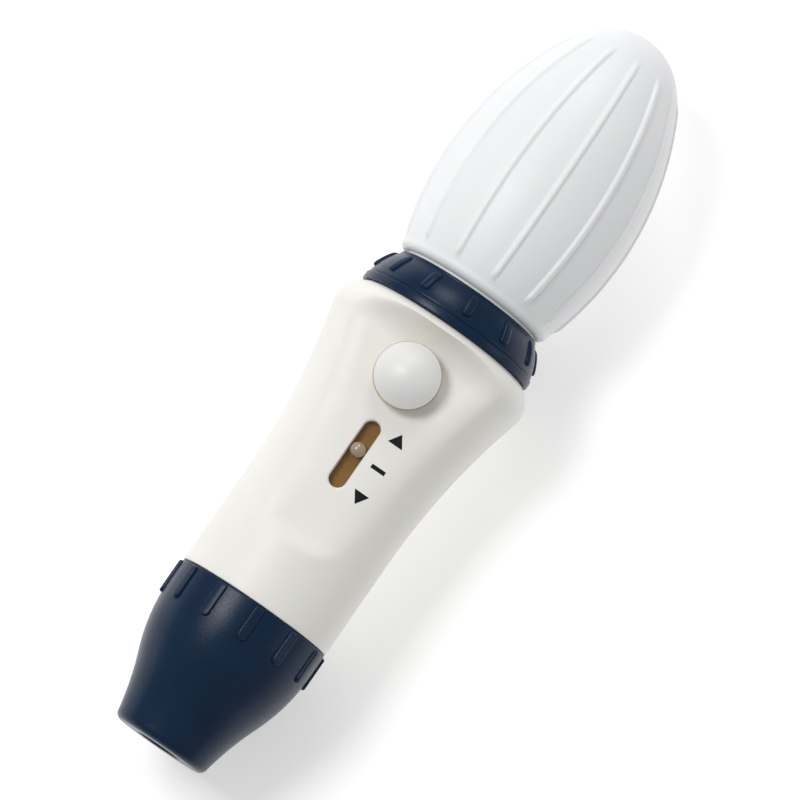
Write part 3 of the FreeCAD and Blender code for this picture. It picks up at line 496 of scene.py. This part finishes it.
def recessFloor(height):
    # height of the recess above the axis; it climbs out of the barrel at both ends
    below = barrel["recessLow"] - height
    above = height - barrel["recessTop"]
    for gone, size in ((below, barrel["recessLowRound"]), (above, barrel["recessTopRound"])):
        if gone > 0:
            reach = min(gone, size * barrel["scoopShare"])
            climb = size - math.sqrt(size ** 2 - reach ** 2)
            return barrel["flat"] + climb + (gone - reach) * barrel["scoopSteepness"]
    return barrel["flat"]


def softened(radius, angle, height, inset=0.0):
    # the round body cut by the recess, with the edge between them rolled over
    ahead = math.cos(angle)
    if ahead < barrel["frontOnly"] or height < barrel["recessFoot"]:
        return radius
    cut = (recessFloor(height) - inset) / ahead
    climbed = clamped((height - barrel["lowSoftEnd"]) / barrel["lowSoftRun"])
    softness = barrel["lowSoftness"] + (barrel["softness"] - barrel["lowSoftness"]) * climbed
    blend = clamped(0.5 + 0.5 * (cut - radius) / softness)
    return cut + (radius - cut) * blend - softness * blend * (1 - blend)


def windowDistance(window, x, y):
    # how far a point of the front lies outside a round-ended window
    straight = window["halfLength"] - window["halfWidth"]
    along = max(0, abs(y - window["centre"]) - straight)
    return math.hypot(x, along) - window["halfWidth"]


def frontHeight(x, y, radius, inset=0.0):
    # height of the front at a place; each pass comes closer to the skin's own angle there
    height = barrel["flat"]
    for _ in range(8):
        reach = softened(radius, math.atan2(x, height), y, inset)
        height = math.sqrt(max(reach ** 2 - x ** 2, 0))
    return height


def rolledEdge(x, y):
    # how far the skin dips beside a window
    gap = min(windowDistance(window, x, y) for window in windows)
    if gap >= barrel["edgeRound"]:
        return 0
    reach = barrel["edgeRound"] - max(gap, 0)
    return barrel["edgeRound"] - math.sqrt(barrel["edgeRound"] ** 2 - reach ** 2)


def frontAngles():
    # columns close together across the windows, wider round the back
    half = [0.0]
    for first, last, step in barrel["columns"]:
        count = round((last - first) / step)
        half += [first + (last - first) * index / count for index in range(1, count + 1)]
    whole = [-angle for angle in half[1:-1]][::-1] + half
    return [math.radians(angle) for angle in whole]


def barrelOutside():
    spigot, edge = barrel["lowSpigotRadius"], barrel["lowSpigotEdge"]
    rows = [(spigot - edge, barrelLow.y), (spigot, barrelLow.y + edge)]
    rows += linePoints(rows[-1], (spigot, barrel["start"]), thread["outerSpacing"])
    edge = barrel["gripEdge"]
    rows += [(barrel["gripRadius"] - edge, barrel["start"])]
    rows += arcPoints(rows[-1], (barrel["gripRadius"], barrel["start"] + edge), edge, 4)
    for top, spacing in (*barrel["rows"], (barrel["flareEnd"], barrel["flareSpacing"])):
        heights = linePoints((0, rows[-1][1]), (0, top), spacing)
        rows += [(barrelRadius(height), height) for _, height in heights]
    rim, edge = barrel["rimRadius"], barrel["rimEdge"]
    rows += arcPoints(rows[-1], (rim, barrel["end"] - edge), barrel["shoulderRound"], 26)
    spigot, top = barrel["topSpigotRadius"], barrelHigh.y
    rows += [(rim - edge, barrel["end"]), (spigot, barrel["end"])]
    rows += linePoints(rows[-1], (spigot, top - barrel["topSpigotEdge"]), thread["outerSpacing"])
    return rows + [(spigot - barrel["topSpigotEdge"], top)]


def barrelInside(outside):
    # coming down from the mouth
    mouth, throat = barrel["mouthRadius"], barrel["throatRadius"]
    rows = [(mouth, barrelHigh.y), (mouth, barrel["throatTop"]), (throat, barrel["throatTop"]),
            (throat, barrel["roof"]), (barrel["roofRadius"], barrel["roof"])]
    rows += linePoints(rows[-1], (barrel["flareBore"], barrel["flareEnd"]), 1.0 * mm)
    fineTo = barrel["flareEnd"] - barrel["slack"]
    heights = [height for _, height in outside if barrel["fineFrom"] < height < fineTo]
    heights = heights[::-1] + [*barrel["innerRows"], barrel["floorTop"]]
    rows += [(barrelRadius(height) - barrel["wall"], height) for height in heights]
    hole, bore = barrel["floorHole"], barrel["lowBore"]
    return rows + [(hole, barrel["floorTop"]), (hole, barrel["floorUnder"]), (bore, barrel["floorUnder"]),
                   (bore, barrelLow.y)]


def makeBarrel():
    outside = barrelOutside()
    lowLead, topLead = barrelLow.y + thread["lead"], barrel["end"] + thread["lead"]

    def shape(row, radius, angle, height):
        if row >= len(outside):
            return softened(radius, angle, height, barrel["wall"]) if height > barrel["innerFoot"] else radius
        if height < barrel["start"] - barrel["slack"]:
            return radius + threadLift(angle, height, lowLead, barrel["lowThreadLength"])
        if height > barrel["end"] + barrel["slack"]:
            return radius + threadLift(angle, height, topLead, barrel["topThreadLength"])
        return softened(radius, angle, height)

    mesh = turnedMesh("barrelShell", outside + barrelInside(outside), frontAngles(), shape=shape)
    openWindows(mesh, len(outside) * len(frontAngles()))
    return addPiece("barrelShell", mesh, shellPlastic, "barrel", ["housing"], 40)


def openWindows(mesh, outsideCount):
    # cuts the two windows through both skins, fits their edges and closes the wall between them
    work = bmesh.new()
    work.from_mesh(mesh)
    work.verts.ensure_lookup_table()
    for vert in work.verts:
        if vert.index < outsideCount and vert.co.z > 0:
            vert.co.z -= rolledEdge(vert.co.x, vert.co.y)
    for window in windows:
        gone = []
        for face in work.faces:
            centre = face.calc_center_median()
            if centre.z > 0 and windowDistance(window, centre.x, centre.y) < 0:
                gone.append(face)
        edges = list(dict.fromkeys(edge for face in gone for edge in face.edges))
        bmesh.ops.delete(work, geom=gone, context="FACES")
        rim = [edge for edge in edges if edge.is_valid and len(edge.link_faces) == 1]
        for vert in dict.fromkeys(vert for edge in rim for vert in edge.verts):
            fitToWindow(vert, window, vert.index < outsideCount)
        bmesh.ops.bridge_loops(work, edges=rim)
    bmesh.ops.recalc_face_normals(work, faces=work.faces)
    work.to_mesh(mesh)
    work.free()


def fitToWindow(vert, window, outer):
    # moves a point of the hole's ragged edge onto the window's outline
    straight = window["halfLength"] - window["halfWidth"]
    middle = window["centre"] + max(-straight, min(straight, vert.co.y - window["centre"]))
    away = Vector((vert.co.x, vert.co.y - middle)).normalized() * window["halfWidth"]
    inset, dip = (0, barrel["edgeRound"]) if outer else (barrel["wall"], 0)
    radius = barrelRadius(vert.co.y) - inset
    vert.co.x = away.x
    vert.co.y = middle + away.y
    vert.co.z = frontHeight(vert.co.x, vert.co.y, radius, inset) - dip


makeBarrel()
print("barrel made")


# ---- printed marks beside the pointer window ----

marks = {"side": 6.5 * mm, "lift": 0.03 * mm, "thickness": 0.05 * mm, "upAt": 88.0 * mm,
         "levelAt": 79.7 * mm, "downAt": 71.7 * mm, "width": 3.9 * mm, "height": 3.0 * mm,
         "dashWidth": 3.7 * mm, "dashHeight": 1.0 * mm}


def makeMark(name, corners):
    # a thin print that follows the skin under it
    work = bmesh.new()
    work.faces.new([work.verts.new((x, y, 0)) for x, y in corners])
    bmesh.ops.triangulate(work, faces=work.faces)
    for _ in range(3):
        bmesh.ops.subdivide_edges(work, edges=work.edges, cuts=1, use_grid_fill=True)
    for vert in work.verts:
        radius = barrelRadius(vert.co.y)
        vert.co.z = frontHeight(vert.co.x, vert.co.y, radius) + marks["lift"] - marks["thickness"]
    top = bmesh.ops.extrude_face_region(work, geom=work.faces[:])
    for item in top["geom"]:
        if isinstance(item, bmesh.types.BMVert):
            item.co.z += marks["thickness"]
    bmesh.ops.recalc_face_normals(work, faces=work.faces)
    mesh = bpy.data.meshes.new(name)
    work.to_mesh(mesh)
    work.free()
    return addPiece(name, mesh, printInk, "barrel")


def makeMarks():
    side, half = marks["side"], marks["width"] / 2
    for name, middle, sense in (("upMark", marks["upAt"], 1), ("downMark", marks["downAt"], -1)):
        tip = middle + sense * marks["height"] / 2
        foot = middle - sense * marks["height"] / 2
        makeMark(name, [(side - half, foot), (side + half, foot), (side, tip)])
    dash, thick = marks["dashWidth"] / 2, marks["dashHeight"] / 2
    low, high = marks["levelAt"] - thick, marks["levelAt"] + thick
    makeMark("levelMark", [(side - dash, low), (side + dash, low), (side + dash, high), (side - dash, high)])


makeMarks()
print("marks made")


# ---- raised ribs, shared by the nose and the collar ----

ribShape = {"count": 12, "phase": math.radians(7.5), "halfWidth": 1.25 * mm, "seat": 0.6 * mm,
            "spacing": 0.7 * mm, "least": 0.02 * mm}


def outlineRadius(outline, height):
    # radius of a climbing outline at a height, and past its end the radius there
    for (lowRadius, low), (highRadius, high) in zip(outline, outline[1:]):
        if low <= height <= high and high > low:
            return lowRadius + (highRadius - lowRadius) * (height - low) / (high - low)
    return outline[-1][0]


def ribOutline(rib, low, high, inset):
    # the rib's outline at this step inwards: up one side and down the other
    half = rib["halfWidth"] - inset
    side = []
    foot, top = (low + inset, rib["lowRound"], -90, 1), (high - inset, rib["highRound"], 0, -1)
    for end, size, first, sense in (foot, top):
        corner = max(size - inset, rib["least"])
        for step in range(9):
            angle = math.radians(first + 90 * step / 8)
            across = half - corner + corner * math.cos(angle)
            side.append((across, end + sense * corner + corner * math.sin(angle)))
    lower, upper = side[:9], side[9:]
    count = max(2, round((high - low) / rib["spacing"]))
    run = upper[0][1] - lower[-1][1]
    right = lower + [(half, lower[-1][1] + run * step / count) for step in range(1, count)] + upper
    return right + [(-x, y) for x, y in reversed(right)]


def ribMesh(name, rib, low, high, surface, crest):
    # one raised rib lying on a turned skin, rounded over along its edges
    turns = [math.radians(turn) for turn in range(0, 91, 15)]
    levels = [(0.0, -1.0)] + [(rib["edge"] * (1 - math.cos(turn)), math.sin(turn)) for turn in turns]
    verts, rows = [], []
    for inset, share in levels:
        row = []
        for across, height in ribOutline(rib, low, high, inset):
            base = surface(height)
            stand = -rib["seat"] if share < 0 else max(crest(height) - base, rib["least"]) * share
            row.append(len(verts))
            verts.append(onAxisY(base + stand, across / base, height))
        rows.append(row)
    faces = []
    for lower, upper in zip(rows, rows[1:]):
        for index in range(len(lower)):
            following = (index + 1) % len(lower)
            faces.append([lower[index], lower[following], upper[following], upper[index]])
    for row in (rows[0], rows[-1]):
        for index in range(len(row) // 2 - 1):
            faces.append([row[index], row[index + 1], row[-index - 2], row[-index - 1]])
    mesh = bpy.data.meshes.new(name)
    mesh.from_pydata(verts, [], faces)
    return closedMesh(mesh)


def closedMesh(mesh):
    # merges points that meet and turns the faces outwards
    work = bmesh.new()
    work.from_mesh(mesh)
    bmesh.ops.remove_doubles(work, verts=work.verts, dist=weldGap)
    bmesh.ops.recalc_face_normals(work, faces=work.faces)
    work.to_mesh(mesh)
    work.free()
    return mesh


def joinedMesh(name, meshes):
    # several closed meshes as one piece
    work = bmesh.new()
    for mesh in meshes:
        work.from_mesh(mesh)
    result = bpy.data.meshes.new(name)
    for material in meshes[0].materials:
        result.materials.append(material)
    work.to_mesh(result)
    work.free()
    return result


def addRibbedPiece(name, skin, rib, oneRib, body, replaced):
    # the skin with its rib repeated all round
    skin.materials.append(navyPlastic)
    sizes = {"count": rib["count"], "firstTurn": rib["phase"], "turnStep": 2 * math.pi / rib["count"]}
    ribs = appliedMesh(name + "Ribs", oneRib, repeatAboutAxis, sizes, navyPlastic)
    addPiece(name, joinedMesh(name, [skin, ribs]), navyPlastic, body, [replaced], 40)


# ---- nose ----

nose = {
    "mouthRadius": 5.4 * mm,
    "mouthEdge": 0.5 * mm,
    "mouthWall": 2.3 * mm,
    "faceRadius": 10.5 * mm,
    "tipRadius": 12.4 * mm,
    "tipRise": 1.9 * mm,
    "tipRound": 1.95 * mm,
    "waistRadius": 16.55 * mm,
    "waist": 16.0 * mm,
    "waistRound": 75.0 * mm,
    "fullRadius": 19.8 * mm,
    "full": 33.0 * mm,
    "fullRound": 46.1 * mm,
    "topEdge": 0.35 * mm,
    "boreRadius": 17.65 * mm,
    "boreEdge": 0.3 * mm,
    "boreFloor": 24.0 * mm,
    "ledgeFloor": 22.0 * mm,
    "ledgeRadius": 16.2 * mm,
    "coneRadius": 10.5 * mm,
    "threadHalfTurns": 3,
    "threadLength": 2.0 * mm,
    "columns": 288,
    "ribFoot": 29.4 * mm,
    "ribTopGap": 0.4 * mm,
    "ribRadius": 20.42 * mm,
    "rib": {**ribShape, "lowRound": 1.25 * mm, "highRound": 0.5 * mm, "edge": 0.42 * mm},
}


def noseOutside():
    start, top, edge = noseLow.y, noseHigh.y, nose["topEdge"]
    rows = [(nose["mouthRadius"] + nose["mouthEdge"], start)]
    rows += linePoints(rows[-1], (nose["faceRadius"], start), 1.0 * mm)
    rows += arcPoints(rows[-1], (nose["tipRadius"], start + nose["tipRise"]), nose["tipRound"], 8)
    rows += arcPoints(rows[-1], (nose["waistRadius"], nose["waist"]), -nose["waistRound"], 16)
    rows += arcPoints(rows[-1], (nose["fullRadius"], nose["full"]), nose["fullRound"], 18)
    return rows + linePoints(rows[-1], (nose["fullRadius"], top - edge), 0.8 * mm)


def noseInside():
    top, bore, edge = noseHigh.y, nose["boreRadius"], nose["boreEdge"]
    rows = [(bore + edge, top), (bore, top - edge)]
    rows += linePoints(rows[-1], (bore, nose["boreFloor"]), thread["innerSpacing"])
    rows += [(nose["ledgeRadius"], nose["boreFloor"]), (nose["ledgeRadius"], nose["ledgeFloor"])]
    rows += [(nose["coneRadius"], nose["mouthWall"]), (nose["mouthRadius"], nose["mouthWall"])]
    return rows + [(nose["mouthRadius"], noseLow.y + nose["mouthEdge"])]


def makeNose():
    side = noseOutside()
    topEdge = arcPoints(side[-1], (nose["fullRadius"] - nose["topEdge"], noseHigh.y), nose["topEdge"], 4)
    outside = side + topEdge
    threadStart = barrelLow.y + thread["lead"] + nose["threadHalfTurns"] / 2 * thread["pitch"]

    def shape(row, radius, angle, height):
        if row > len(outside) and radius == nose["boreRadius"]:
            return radius - threadLift(angle, height, threadStart, nose["threadLength"])
        return radius

    skin = turnedMesh("noseCone", outside + noseInside(), evenAngles(nose["columns"]), shape=shape)
    rib = ribMesh("noseRib", nose["rib"], nose["ribFoot"], noseHigh.y - nose["ribTopGap"],
                  lambda height: outlineRadius(side, height), lambda height: nose["ribRadius"])
    addRibbedPiece("noseCone", skin, nose["rib"], rib, "nose", "nose_cone")


makeNose()
print("nose made")


# ---- collar ----

collar = {
    "bandTop": 118.2 * mm,
    "bandRadius": 23.0 * mm,
    "bandEdge": 0.35 * mm,
    "groove": 0.55 * mm,
    "grooveRise": 0.12 * mm,
    "stepIn": 0.42 * mm,
    "stepRise": 0.4 * mm,
    "curveRadius": 16.0 * mm,
    "rimRadius": 18.9 * mm,
    "rimRound": 0.5 * mm,
    "rimOut": 0.1 * mm,
    "rimIn": 0.3 * mm,
    "rimDrop": 0.6 * mm,
    "boreRadius": 19.3 * mm,
    "lipRadius": 18.2 * mm,
    "ledge": 124.0 * mm,
    "threadLength": 1.75 * mm,
    "columns": 288,
    "ribFoot": 119.9 * mm,
    "ribTop": 125.4 * mm,
    "ribProud": 0.75 * mm,
    "rib": {**ribShape, "lowRound": 0.9 * mm, "highRound": 0.9 * mm, "edge": 0.85 * mm},
}


def collarBand():
    start, radius, edge = collarLow.y, collar["bandRadius"], collar["bandEdge"]
    rows = [(radius - edge, start)]
    rows += arcPoints(rows[-1], (radius, start + edge), edge, 4)
    rows += [(radius, collar["bandTop"] - edge)]
    return rows + arcPoints(rows[-1], (radius - edge, collar["bandTop"]), edge, 4)[:-1]


def collarCurve():
    # from the top of the band, over the groove and up the curve that carries the ribs
    radius, bandTop, rim, top = collar["bandRadius"], collar["bandTop"], collar["rimRadius"], collarHigh.y
    rows = [(radius - collar["bandEdge"], bandTop),
            (radius - collar["groove"], bandTop + collar["grooveRise"]),
            (radius - collar["stepIn"], bandTop + collar["stepRise"])]
    rows += arcPoints(rows[-1], (rim + collar["rimOut"], top - collar["rimDrop"]), collar["curveRadius"], 22)
    return rows + arcPoints(rows[-1], (rim - collar["rimIn"], top), collar["rimRound"], 5)


def makeCollar():
    curve = collarCurve()
    outside = collarBand() + curve
    inside = [(collar["lipRadius"], collarHigh.y), (collar["lipRadius"], collar["ledge"]),
              (collar["boreRadius"], collar["ledge"])]
    inside += linePoints(inside[-1], (collar["boreRadius"], collarLow.y), thread["innerSpacing"])
    threadStart = barrel["end"] + thread["lead"] + thread["pitch"] / 2

    def shape(row, radius, angle, height):
        if row > len(outside) + 2:
            return radius - threadLift(angle, height, threadStart, collar["threadLength"])
        return radius

    def surface(height):
        return outlineRadius(curve, height)

    skin = turnedMesh("collarRing", outside + inside, evenAngles(collar["columns"]), shape=shape)
    rib = ribMesh("collarRib", collar["rib"], collar["ribFoot"], collar["ribTop"], surface,
                  lambda height: surface(height) + collar["ribProud"])
    addRibbedPiece("collarRing", skin, collar["rib"], rib, "collar", "collar_ring")


makeCollar()
print("collar made")


# ---- bulb ----

bulb = {
    "flangeRadius": 19.1 * mm,
    "flangeHeight": 2.0 * mm,
    "flangeEdge": 0.2 * mm,
    "neckRadius": 17.9 * mm,
    "wall": 2.0 * mm,
    "base": 127.0 * mm,
    "rimRound": 2.2 * mm,
    "rimRadius": 20.25 * mm,
    "middle": 153.5 * mm,
    "radius": 24.2 * mm,
    "sideRadius": 76.8 * mm,
    "endRadius": 16.0 * mm,
    "joinRadius": 13.84 * mm,
    "joinHeight": 192.0 * mm,
    "innerRim": 18.35 * mm,
    # columns: fine across a ridge, this far to each side of it, and wider between ridges
    "spread": math.radians(4.6),
    "nearColumns": 20,
    "farColumns": 8,
    "ridgeCount": 13,
}
ridge = {"ridgeCount": float(bulb["ridgeCount"]), "ridgePhase": math.radians(9), "ridgeWidth": 2.2 * mm,
         "ridgeHeight": 0.6 * mm, "crownShare": 0.15, "ridgeLow": 130.4 * mm, "ridgeHigh": 193.2 * mm,
         "lowFade": 1.6 * mm, "highFade": 4.0 * mm}


def bulbOutside():
    low, base, flange, edge = bulbLow.y, bulb["base"], bulb["flangeRadius"], bulb["flangeEdge"]
    flangeTop, rimHeight = low + bulb["flangeHeight"], base + bulb["rimRound"]
    rows = [(flange - edge, low), (flange, low + edge), (flange, flangeTop - edge),
            (flange - edge, flangeTop), (bulb["neckRadius"], flangeTop), (bulb["neckRadius"], base)]
    rows += arcPoints((bulb["rimRadius"] - bulb["rimRound"], base), (bulb["rimRadius"], rimHeight),
                      bulb["rimRound"], 9)
    rows += arcPoints(rows[-1], (bulb["radius"], bulb["middle"]), bulb["sideRadius"], 30)
    rows += arcPoints(rows[-1], (bulb["joinRadius"], bulb["joinHeight"]), bulb["sideRadius"], 40)
    rows += arcPoints(rows[-1], (0.0, bulbHigh.y), bulb["endRadius"], 14)
    return rows[:-1] + [(0.0, bulbHigh.y)]


def bulbInside():
    # one wall inside the outside, coming down from the closed end
    base, wall, top = bulb["base"], bulb["wall"], bulbHigh.y
    endCentre = top - bulb["endRadius"]
    endRound, sideRound = bulb["endRadius"] - wall, bulb["sideRadius"] - wall
    share = endRound / bulb["endRadius"]
    join = (bulb["joinRadius"] * share, endCentre + (bulb["joinHeight"] - endCentre) * share)
    rows = [(0.0, top - wall)]
    rows += arcPoints(rows[-1], join, -endRound, 5)
    rows += arcPoints(rows[-1], (bulb["radius"] - wall, bulb["middle"]), -sideRound, 14)
    rows += arcPoints(rows[-1], (bulb["innerRim"], base + bulb["rimRound"]), -sideRound, 10)
    bore = bulb["neckRadius"] - wall
    return rows + [(bore, base + wall), (bore, bulbLow.y)]


def makeBulb():
    count, spread = bulb["ridgeCount"], bulb["spread"]
    pitch = 2 * math.pi / count
    near, far = bulb["nearColumns"], bulb["farColumns"]
    offsets = [-spread + 2 * spread * step / near for step in range(near)]
    offsets += [spread + (pitch - 2 * spread) * step / far for step in range(far)]
    angles = [ridge["ridgePhase"] + pitch * turn + offset for turn in range(count) for offset in offsets]
    skin = turnedMesh("bulbSkin", bulbOutside() + bulbInside(), angles)
    skin.shade_smooth()
    ridged = appliedMesh("bulbSkin", skin, ridgeTree(ridge), ridge, bulbSilicone)
    addPiece("bulbSkin", ridged, bulbSilicone, "squeeze_bulb", ["bulb"], 50)


makeBulb()
print("bulb made")


# ---- knob, a thin tan ring of painted gap shadow under its rim, and the pointer bead ----

knob = {
    "radius": 8.0 * mm,
    "capRadius": 7.8 * mm,
    "capEdge": 0.06 * mm,
    "capRound": 1.2 * mm,
    "roundIn": 0.45 * mm,
    "roundLow": 0.3 * mm,
    "roundHigh": 0.35 * mm,
    "sideTop": 22.3 * mm,
    "domeRadius": 10.2 * mm,
    "underside": 18.6 * mm,
    "underRadius": 6.2 * mm,
    "sideLow": 20.4 * mm,
    "ringTop": 21.4 * mm,
    "ringSeat": 0.35 * mm,
    "ringThick": 0.34 * mm,
    "ringGap": 0.1 * mm,
    "ringRound": 0.08 * mm,
    "stemRadius": 2.1 * mm,
    "stemEdge": 0.2 * mm,
    "boreRadius": 1.25 * mm,
    "boreTop": 20.0 * mm,
    "columns": 128,
}


def makeKnob():
    middle = (knobLow.y + knobHigh.y) / 2
    bottom, top, stem, bore = knobLow.z, knobHigh.z, knob["stemRadius"], knob["boreRadius"]
    seat = knob["radius"] - knob["ringSeat"]
    cap, side, edge = knob["capRadius"], knob["sideTop"], knob["capEdge"]
    rows = [(bore, bottom), (stem - knob["stemEdge"], bottom), (stem, bottom + knob["stemEdge"]),
            (stem, knob["underside"])]
    rows += linePoints(rows[-1], (knob["underRadius"], knob["underside"]), 1.0 * mm)
    rows += linePoints(rows[-1], (seat, knob["sideLow"] - knob["ringGap"]), 0.4 * mm)
    rows += [(seat, knob["ringTop"]), (cap - edge, knob["ringTop"]), (cap, knob["ringTop"] + edge),
             (cap, side - knob["roundLow"])]
    rows += arcPoints(rows[-1], (cap - knob["roundIn"], side + knob["roundHigh"]), knob["capRound"], 6)
    rows += arcPoints(rows[-1], (0.0, top), knob["domeRadius"], 22)[:-1]
    rows += [(0.0, top), (0.0, knob["boreTop"]), (bore, knob["boreTop"])]
    mesh = turnedMesh("knobCap", rows, evenAngles(knob["columns"]), place=onAxisZ(middle))
    addPiece("knobCap", mesh, knobPlastic, "control", ["control_knob"], 40)
    # a thin tan ring round the knob's foot, painted shade for the shadow line in the gap under the rim
    low, high, inner = knob["sideLow"], knob["ringTop"], knob["radius"] - knob["ringThick"]
    corners = [(inner, low), (knob["radius"], low), (knob["radius"], high), (inner, high)]
    band = softCorners(corners, knob["ringRound"])
    ring = turnedMesh("knobShadowRing", band, evenAngles(knob["columns"]), place=onAxisZ(middle))
    addPiece("knobShadowRing", ring, gapShadowTan, "control")


bead = {"stem": 0.9 * mm, "stemEdge": 0.1 * mm, "spacing": 0.3 * mm, "columns": 64}


def makeBead():
    middle, radius = (beadLow.y + beadHigh.y) / 2, (beadHigh.x - beadLow.x) / 2
    centre, stem, edge = beadHigh.z - radius, bead["stem"], bead["stemEdge"]
    rows = [(0.0, beadLow.z), (stem - edge, beadLow.z), (stem, beadLow.z + edge)]
    rows += linePoints(rows[-1], (stem, centre - math.sqrt(radius ** 2 - stem ** 2)), bead["spacing"])
    rows += arcPoints(rows[-1], (radius, centre), radius, 14)
    rows += arcPoints(rows[-1], (0.0, beadHigh.z), radius, 14)[:-1] + [(0.0, beadHigh.z)]
    mesh = turnedMesh("pointerBead", rows, evenAngles(bead["columns"]), place=onAxisZ(middle))
    addPiece("pointerBead", mesh, clearBead, "control", ["pointer_bead"], 40)


makeKnob()
makeBead()
print("knob and bead made")


# ---- return springs, fixed coils of wire along each spring's box ----

springs = {"wire": 0.28 * mm, "coil": 2.6 * mm, "pitch": 1.7 * mm, "wireSides": 12, "turnSteps": 40}


def makeSpring(label, name, fixedAtTop):
    low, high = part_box(name)
    start, length = low.y + springs["wire"], high.y - low.y - 2 * springs["wire"]
    axisZ, sides = (low.z + high.z) / 2, springs["wireSides"]
    steps = round(springs["turnSteps"] * length / springs["pitch"])
    verts, faces = [], []
    for step in range(steps + 1):
        angle = 2 * math.pi * step / springs["turnSteps"]
        height = start + length * step / steps
        for around in evenAngles(sides):
            reach = springs["coil"] + springs["wire"] * math.cos(around)
            verts.append((reach * math.sin(angle), height + springs["wire"] * math.sin(around),
                          axisZ + reach * math.cos(angle)))
    for step in range(steps):
        for side in range(sides):
            near, far = step * sides + side, step * sides + (side + 1) % sides
            faces.append([near, far, far + sides, near + sides])
    faces += [list(range(sides)), list(range(steps * sides, steps * sides + sides))]
    mesh = bpy.data.meshes.new(label)
    mesh.from_pydata(verts, [], faces)
    piece = newPiece(label, closedMesh(mesh), stainless)
    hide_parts(name)
    ends = [(0, low.y, axisZ), (0, high.y, axisZ)]
    if fixedAtTop:
        ends.reverse()
    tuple(ends[0])
    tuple(ends[1])
    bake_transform(piece)


makeSpring("springLower", "spring_lower", False)
makeSpring("springUpper", "spring_upper", True)
print("springs made")


# ---- floor, light and camera ----

def lampAt(name, place, target, size, power):
    lamp = bpy.data.lights.new(name, "AREA")
    lamp.size = size
    lamp.energy = power
    holder = bpy.data.objects.new(name, lamp)
    bpy.context.scene.collection.objects.link(holder)
    holder.location = place
    holder.rotation_euler = (target - place).to_track_quat("-Z", "Y").to_euler()


camera = {"target": Vector((0.4 * mm, 97.66 * mm, 0)), "distance": 1.65, "lens": 320.4,
          "tilt": math.radians(6.0), "side": math.radians(3.6), "roll": math.radians(34.72)}


def makeCamera():
    back = Vector((math.sin(camera["side"]), -math.sin(camera["tilt"]), 1)).normalized()
    # the object's +Y leans clockwise from the picture's vertical by the roll
    upright = (Vector((0, 1, 0)) - back * back.y).normalized()
    across = upright.cross(back)
    up = upright * math.cos(camera["roll"]) - across * math.sin(camera["roll"])
    right = up.cross(back)
    data = bpy.data.cameras.new("camera")
    data.lens = camera["lens"]
    data.sensor_width = 36.0
    data.clip_start = 0.05
    holder = bpy.data.objects.new("camera", data)
    bpy.context.scene.collection.objects.link(holder)
    rotation = Matrix((right, up, back)).transposed().to_4x4()
    holder.matrix_world = Matrix.Translation(camera["target"] + back * camera["distance"]) @ rotation
    bpy.context.scene.camera = holder
    return right, up, back


right, up, back = makeCamera()
centre = camera["target"]

stage = {"floorGap": 0.05 * mm, "floorHalf": 3.0, "floorColour": (0.9, 0.9, 0.9, 1), "floorRoughness": 0.7,
         "floorGlow": 0.38, "worldStrength": 0.37}


def floorMaterial():
    material, _, shader = newShader("paleFloor")
    shader.inputs["Base Color"].default_value = stage["floorColour"]
    shader.inputs["Roughness"].default_value = stage["floorRoughness"]
    shader.inputs["Emission Color"].default_value = (1, 1, 1, 1)
    shader.inputs["Emission Strength"].default_value = stage["floorGlow"]
    return material


def makeFloor():
    # level, just touching the flare and the collar, its lowest points as it lies
    height, half = cadBox[0][2] - stage["floorGap"], stage["floorHalf"]
    mesh = bpy.data.meshes.new("floor")
    corners = [(x * half, y * half, height) for x, y in ((-1, -1), (1, -1), (1, 1), (-1, 1))]
    mesh.from_pydata(corners, [], [(0, 1, 2, 3)])
    mesh.materials.append(floorMaterial())
    floor = bpy.data.objects.new("floor", mesh)
    bpy.context.scene.collection.objects.link(floor)
    floor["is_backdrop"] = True


def makeWorld():
    world = bpy.data.worlds.new("world")
    world.use_nodes = True
    background = world.node_tree.nodes["Background"]
    background.inputs[0].default_value = (1, 1, 1, 1)
    background.inputs[1].default_value = stage["worldStrength"]
    bpy.context.scene.world = world


makeFloor()
makeWorld()
lampAt("keyLight", centre - right * 0.46 + up * 0.48 + back * 0.95, centre, size=0.40, power=6.2)
lampAt("topLight", centre + right * 0.25 + up * 1.10 + back * 0.60, centre, size=0.45, power=3.4)
lampAt("fillLight", centre + right * 1.0 - up * 0.35 + back * 0.5, centre, size=0.5, power=0.9)
bpy.context.scene.view_settings.view_transform = "Standard"
print("stage made")

boxes = {"cad": cadBox, "looks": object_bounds()}
{label: [list(corner) for corner in box] for label, box in boxes.items()}
